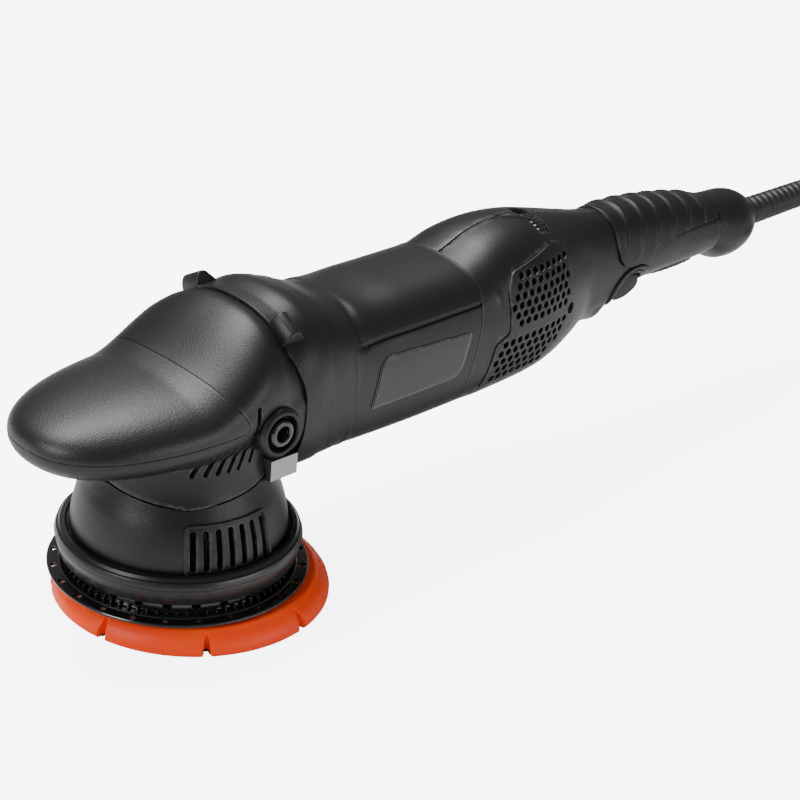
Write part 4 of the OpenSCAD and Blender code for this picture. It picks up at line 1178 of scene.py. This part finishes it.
def patch(name, section, outline, d_out, d_in, side, finish, edge=0.2, x_step=1.2, cuts=()):
    """Curved plate following a housing: its outline is given in x and z, seen from the side."""
    xs = [p[0] for p in outline]
    zs = [p[1] for p in outline]
    x = np.linspace(min(xs) - 1.5, max(xs) + 1.5, int((max(xs) - min(xs) + 3) / x_step))[:, None]
    t = np.linspace(0, 1, int((max(zs) - min(zs) + 3) / 1.2))[None, :]
    a0, a1 = angle_at(section, x, min(zs) - 1.5), angle_at(section, x, max(zs) + 1.5)
    a = a0 + (a1 - a0) * t
    grids = [on_section(section, x, a, d) for d in (d_out, d_in)]
    for g in grids:
        g[..., 1] *= side
    nu, nv = grids[0].shape[:2]
    verts = [tuple(p) for g in grids for p in g.reshape(-1, 3)]
    faces = grid_faces(nu, nv) + grid_faces(nu, nv, base=nu * nv)
    rim = ([i * nv for i in range(nu)] + [(nu - 1) * nv + j for j in range(1, nv)]
           + [i * nv + nv - 1 for i in range(nu - 2, -1, -1)] + [j for j in range(nv - 2, 0, -1)])
    faces += [(rim[k], rim[(k + 1) % len(rim)], nu * nv + rim[(k + 1) % len(rim)], nu * nv + rim[k])
              for k in range(len(rim))]
    ob = build(name, verts, faces, finish)
    trim = prism("trim", outline, "y", side * 2, side * 60)
    cut(ob, trim, "INTERSECT")
    discard(trim)
    for cutter in cuts:
        cut(ob, cutter)
    soften(ob, edge, 2)
    return ob


LABEL = round_outline([(79.6, 78), (84.6, 98), (89.5, 102.2), (142.6, 99.2), (136.8, 81.6),
                       (132.8, 78.6)], 2.2, 5)


def inset_outline(outline, by):
    """The outline moved inward, square to the line through each corner's neighbours."""
    p = np.array(outline, float)
    out = []
    area = 0.5 * np.sum(p[:, 0] * np.roll(p[:, 1], -1) - np.roll(p[:, 0], -1) * p[:, 1])
    sign = 1 if area > 0 else -1
    for i in range(len(p)):
        t = p[(i + 1) % len(p)] - p[i - 1]
        t /= np.linalg.norm(t) + 1e-9
        out.append(tuple(p[i] + by * sign * np.array([-t[1], t[0]])))
    return out


for side, label in ((-1, "right"), (1, "left")):
    rim = patch(f"plate_rim_{label}", body_section, LABEL, -0.35, 0.6, side, GLOSS_BLACK, edge=0.12)
    attach(rim, "root", "name_plate")
    face = patch(f"name_plate_{label}", body_section, inset_outline(LABEL, 0.9), -0.6, 0.6, side, PLATE_BLACK,
                 edge=0.2)
    attach(face, "root", "name_plate", *(("label_plates",) if side < 0 else ()))

# ---- Rear housing halves, side covers and speed dial ----

COVER = round_outline([(153.5, 65.2), (159, 87.5), (168.2, 91.5), (167.6, 112), (173, 119), (205, 123.6),
                       (215.4, 120.4), (220, 86), (197, 65.2)], 2.4, 5)
UPPER_FIELD = [(170.6, 94.2), (170.4, 111), (174.5, 116.2), (205, 120.6), (212.8, 118.2),
               (215.6, 98), (210.5, 94.2)]
LOWER_FIELD = [(157, 67.8), (161.2, 84.6), (168, 87.4), (211.5, 87.4), (215.2, 84), (196, 67.8)]
SCREW_X, SCREW_Z = 216.4, 89.6


def inside(p, poly):
    hit, n = False, len(poly)
    for i in range(n):
        (x0, z0), (x1, z1) = poly[i], poly[(i + 1) % n]
        if (z0 > p[1]) != (z1 > p[1]) and p[0] < x0 + (p[1] - z0) / (z1 - z0) * (x1 - x0):
            hit = not hit
    return hit


def hex_places():
    pitch = 5.0
    out = []
    for row in range(14):
        z = 69.0 + row * pitch * 0.866
        for col in range(16):
            x = 155.5 + pitch * (col + 0.5 * (row % 2))
            p = (x, z)
            if math.dist(p, (SCREW_X, SCREW_Z)) < 5.2:
                continue
            for field in (UPPER_FIELD, LOWER_FIELD):
                if inside(p, field):
                    out.append(p)
    return out


def hexagon(cx, cz, r):
    return [(cx + r * math.cos(a), cz + r * math.sin(a)) for a in np.radians(np.arange(30, 390, 60))]


def half_grid(side, count=250):
    angles = np.linspace(90.25, 269.75, 84)
    pts = span_grid(body_section, lambda z: seam_rear(z) + 0.2, lambda z: 346.7 + 0 * z, angles, count,
                    lift=rear_lift)
    if side > 0:
        pts[..., 1] *= -1
    return pts


SLEEVE_EDGE = [(262, 106), (264, 98.5), (267.5, 94.4), (273, 92.6), (284, 92.4), (290, 93.2), (295, 95.6),
               (300, 98.4), (307, 100.2), (318, 101), (330, 101), (345, 100.2)]


def sleeve_low(x):
    e = np.array(SLEEVE_EDGE, float)
    return np.interp(x, e[:, 0], e[:, 1])


def rear_lift(x, z, y):
    step = np.exp(-((x - 162) / 1.2) ** 2) * np.exp(-((z - 110) / 3) ** 2) * 0.5
    hump = 2.2 * np.exp(-((x - 258) / 7) ** 2) * (1 - smooth((z - 66) / 9))
    below = sleeve_low(x) - z
    groove = -0.5 * np.exp(-((below - 0.4) / 0.7) ** 2) * smooth((x - 262.5) / 1.5)
    under_grip = -0.5 * smooth(-below / 1.2) * smooth((x - 262) / 2)
    return step + hump + groove + under_grip


def make_rear_half(side):
    cutters = [prism("pocket", inset_outline(COVER, -0.35), "y", side * 3, side * 60)]
    dial = round_outline([(203.0, -17.5), (211.0, -17.5), (211.0, 5.5), (203.0, 5.5)], 1.6, 4)
    cutters.append(prism("dial_slot", dial, "z", 100, 150))
    paddle = [(267.2, 50), (289.4, 50), (289.4, 78)]
    sweep = np.linspace(0.1, math.pi - 0.1, 14)
    arc = [(278.3 + 11.1 * math.cos(t), 76.5 + 10.2 * math.sin(t)) for t in sweep]
    cutters.append(prism("paddle_slot", paddle[:2] + arc, "y", -40, 40))
    cutter = joined("rear_cuts", cutters)
    name = "rear_moulding_" + ("right" if side < 0 else "left")
    ob = sheet_piece(name, [(half_grid(side), False)], BODY_BLACK, 2.5, (250, 0, 92), edge=0.4,
                     cuts=(cutter,))
    discard(cutter)
    return ob


for side, label in ((-1, "right"), (1, "left")):
    attach(make_rear_half(side), "root", "black_plastic", f"rear_housing_{label}")
    cells = [prism("cell", hexagon(x, z, 1.95), "y", side * 10, side * 60) for x, z in hex_places()]
    cells.append(prism("screw_pocket", disc(SCREW_X, SCREW_Z, 2.9, 28), "y", side * 10, side * 60))
    cutter = joined("cover_cells", cells)
    cover = patch(f"vent_cover_{label}", body_section, COVER, -0.5, 2.0, side, BODY_BLACK, edge=0.28,
                  cuts=(cutter,))
    discard(cutter)
    attach(cover, "root", "black_plastic", f"side_cover_{label}")
    seat = turned_y(f"cover_screw_{label}", [
        (0, 24), (2.7, 24), (2.7, 27.2), (2.4, 27.9), (1.5, 28.1), (1.3, 26.6), (0, 26.6)],
        SCREW_X, SCREW_Z, side, ZINC, n=32, edge=0.1)
    attach(seat, "root", "zinc_screw", *(("side_cover_screws",) if side < 0 else ()))

crest = [(184 + 24 * t, -10 * t ** 1.5 - 0.5) for t in np.linspace(0, 1, 26)]
crest_path = []
for cx, cy in crest:
    w, z0, z1, p = (float(v) for v in body_section(np.array(cx)))
    crest_path.append((cx, cy, (z0 + z1) / 2 + (z1 - z0) / 2 * (1 - abs(cy / w) ** p) ** (1 / p) + 0.1))
attach(tube("crest_line", crest_path, 0.55, BODY_BLACK), "root", "black_plastic")

DIAL = (207.0, -6.0, 117.5)


def make_dial():
    n = 160
    a = np.linspace(0, 2 * math.pi, n, endpoint=False)
    knurl = 0.42 * (0.5 + 0.5 * np.cos(a * 40)) ** 0.6
    profile = [(0, -5.5), (3, -5.5), (3, -3.4), (11.6, -3.4), (13.2, -3.2), (13.9, -2.5), (14, -1.4),
               (14, 1.4), (13.9, 2.5), (13.2, 3.2), (11.6, 3.4), (3, 3.4), (3, 5.5), (0, 5.5)]
    verts = []
    for r, x in profile:
        rr = r - knurl * (r > 13)
        verts += [(DIAL[0] + x, DIAL[1] + q * math.cos(t), DIAL[2] + q * math.sin(t)) for q, t in zip(rr, a)]
    ob = build("speed_wheel", verts, grid_faces(len(profile), n, True), GLOSS_BLACK)
    soften(ob, 0)
    return ob


attach(make_dial(), "dial", "black_plastic", "speed_dial")

# ---- Paddle, grip, pommel ----


def make_paddle():
    outline = round_outline([(268.4, 76.4), (269.2, 72.6), (272.6, 71.0), (280, 71.5), (286.4, 74.2),
                             (288.8, 76.6), (288.8, 83.2), (285, 83.6), (275, 82.2), (269.4, 80)], 2.2, 5)
    ob = prism("paddle", outline, "y", -12.4, 12.4)
    ob.data.materials.clear()
    ob.data.materials.append(BODY_BLACK)
    soften(ob, 1.5, 4, angle=50)
    return ob


def make_paddle_arm():
    outline = round_outline([(284, 76), (291.5, 79.2), (294, 82.2), (294, 85.4), (284, 84.2)], 0.6, 3)
    arm = prism("paddle_arm", outline, "y", -8.6, 8.6)
    pin = prism("paddle_pin", disc(294, 84, 2.2, 32), "y", -12, 12)
    ob = joined("paddle_arm", [arm, pin])
    ob.data.materials.append(BODY_BLACK)
    soften(ob, 0.2, 2)
    return ob


attach(make_paddle(), "switch_paddle", "black_plastic", "trigger")
attach(make_paddle_arm(), "switch_paddle", "black_plastic")


def side_bead(name, points, radius, side, d=0.0):
    """Bead that follows the side of the housing through points in x and z."""
    pts = catmull(points, 6)
    y = side_y(body_section, pts[:, 0], pts[:, 1]) - d
    path = np.stack([pts[:, 0], side * y, pts[:, 1]], -1)
    return tube(name, path, radius, BODY_BLACK, normal=(0, side, 0.001))


for side, label in ((-1, "right"), (1, "left")):
    outer = side_bead(f"guard_outer_{label}", [
        (264.0, 71), (263.4, 78), (265.6, 84.5), (271.5, 89.2), (278.4, 90.4), (285.4, 89.0), (291.6, 84.6)],
        1.25, side, -0.25)
    inner = side_bead(f"guard_inner_{label}", [
        (266.4, 72), (266.0, 78), (268.4, 83.6), (273.2, 87.0), (278.4, 88.0), (284.4, 86.6), (289.6, 82.6)],
        0.75, side, -0.1)
    attach(outer, "root", "black_plastic")
    attach(inner, "root", "black_plastic")

def make_sleeve():
    x = np.linspace(262.3, 344.8, 240)[:, None]
    t = np.linspace(0, 1, 110)[None, :]
    low = angle_at(body_section, x, sleeve_low(x))
    a = 180 - low - t * (180 - 2 * low)
    across = np.abs(a - 90) / 90
    place = (x - 268 + 9.0 * across ** 2) / 12.2
    wave = place - np.floor(place)
    crest_shape = np.exp(-((wave - 0.5) / 0.13) ** 2)
    hollow = 0.5 - 0.5 * np.cos(2 * np.pi * wave)
    fade = smooth((1.12 - across) / 0.35) * smooth((x - 266) / 4) * smooth((343 - x) / 3)
    lift = 0.95 + fade * (0.1 * hollow + 0.9 * crest_shape)
    rim = smooth((x - 262.3) / 1.5) * smooth((344.8 - x) / 1.0)
    pts = on_section(body_section, x, a, -(lift * (0.6 + 0.4 * rim)))
    return sheet_piece("grip_overmould", [(pts, False)], GRIP_BLACK, 1.1, (300, 0, 95), edge=0.5)


def make_insert():
    t = np.linspace(-1, 1, 60)[:, None]
    x = 319 + 20.5 * np.sign(t) * np.abs(t) ** 0.9
    half = 40 * np.sqrt(np.clip(1 - np.abs(t) ** 2.2, 0, 1)) + 0.4
    v = np.linspace(-1, 1, 40)[None, :]
    a = 270 + half * v
    edge = np.sqrt(np.clip(1 - np.abs(t) ** 3, 0, 1)) * np.sqrt(np.clip(1 - np.abs(v) ** 4, 0, 1))
    ribs = 0.25 * np.cos((x - 319) * 2 * np.pi / 4.4) * edge
    pts = on_section(body_section, x, a, -(0.2 + 1.0 * edge + ribs))
    return sheet_piece("grip_pad", [(pts, False)], GRIP_BLACK, 0.9, (319, 0, 95), edge=0.2)


def make_pommel():
    x = np.linspace(347, 383, 60)
    a = np.linspace(0, 360, 96, endpoint=False)
    pts = [on_section(POMMEL, np.full(96, v), a) for v in x]
    turn = np.radians(a)
    for lip_x, r in ((383.4, 9.2), (383.6, 8.3), (383.0, 7.7), (376, 7.7)):
        pts.append(np.stack([np.full(96, lip_x), r * np.cos(turn), MOTOR_Z + r * np.sin(turn)], -1))
    pts.insert(0, on_section(POMMEL, np.full(96, 347.0), a, 3.0))
    verts = [tuple(p) for p in np.array(pts).reshape(-1, 3)]
    ob = build("pommel_moulding", verts, grid_faces(len(pts), 96, True), BODY_BLACK)
    soften(ob, 0)
    return ob


attach(make_sleeve(), "root", "soft_touch", "grip_sleeve")
attach(make_insert(), "root", "soft_touch", "grip_insert")
attach(make_pommel(), "root", "black_plastic", "pommel_cap")
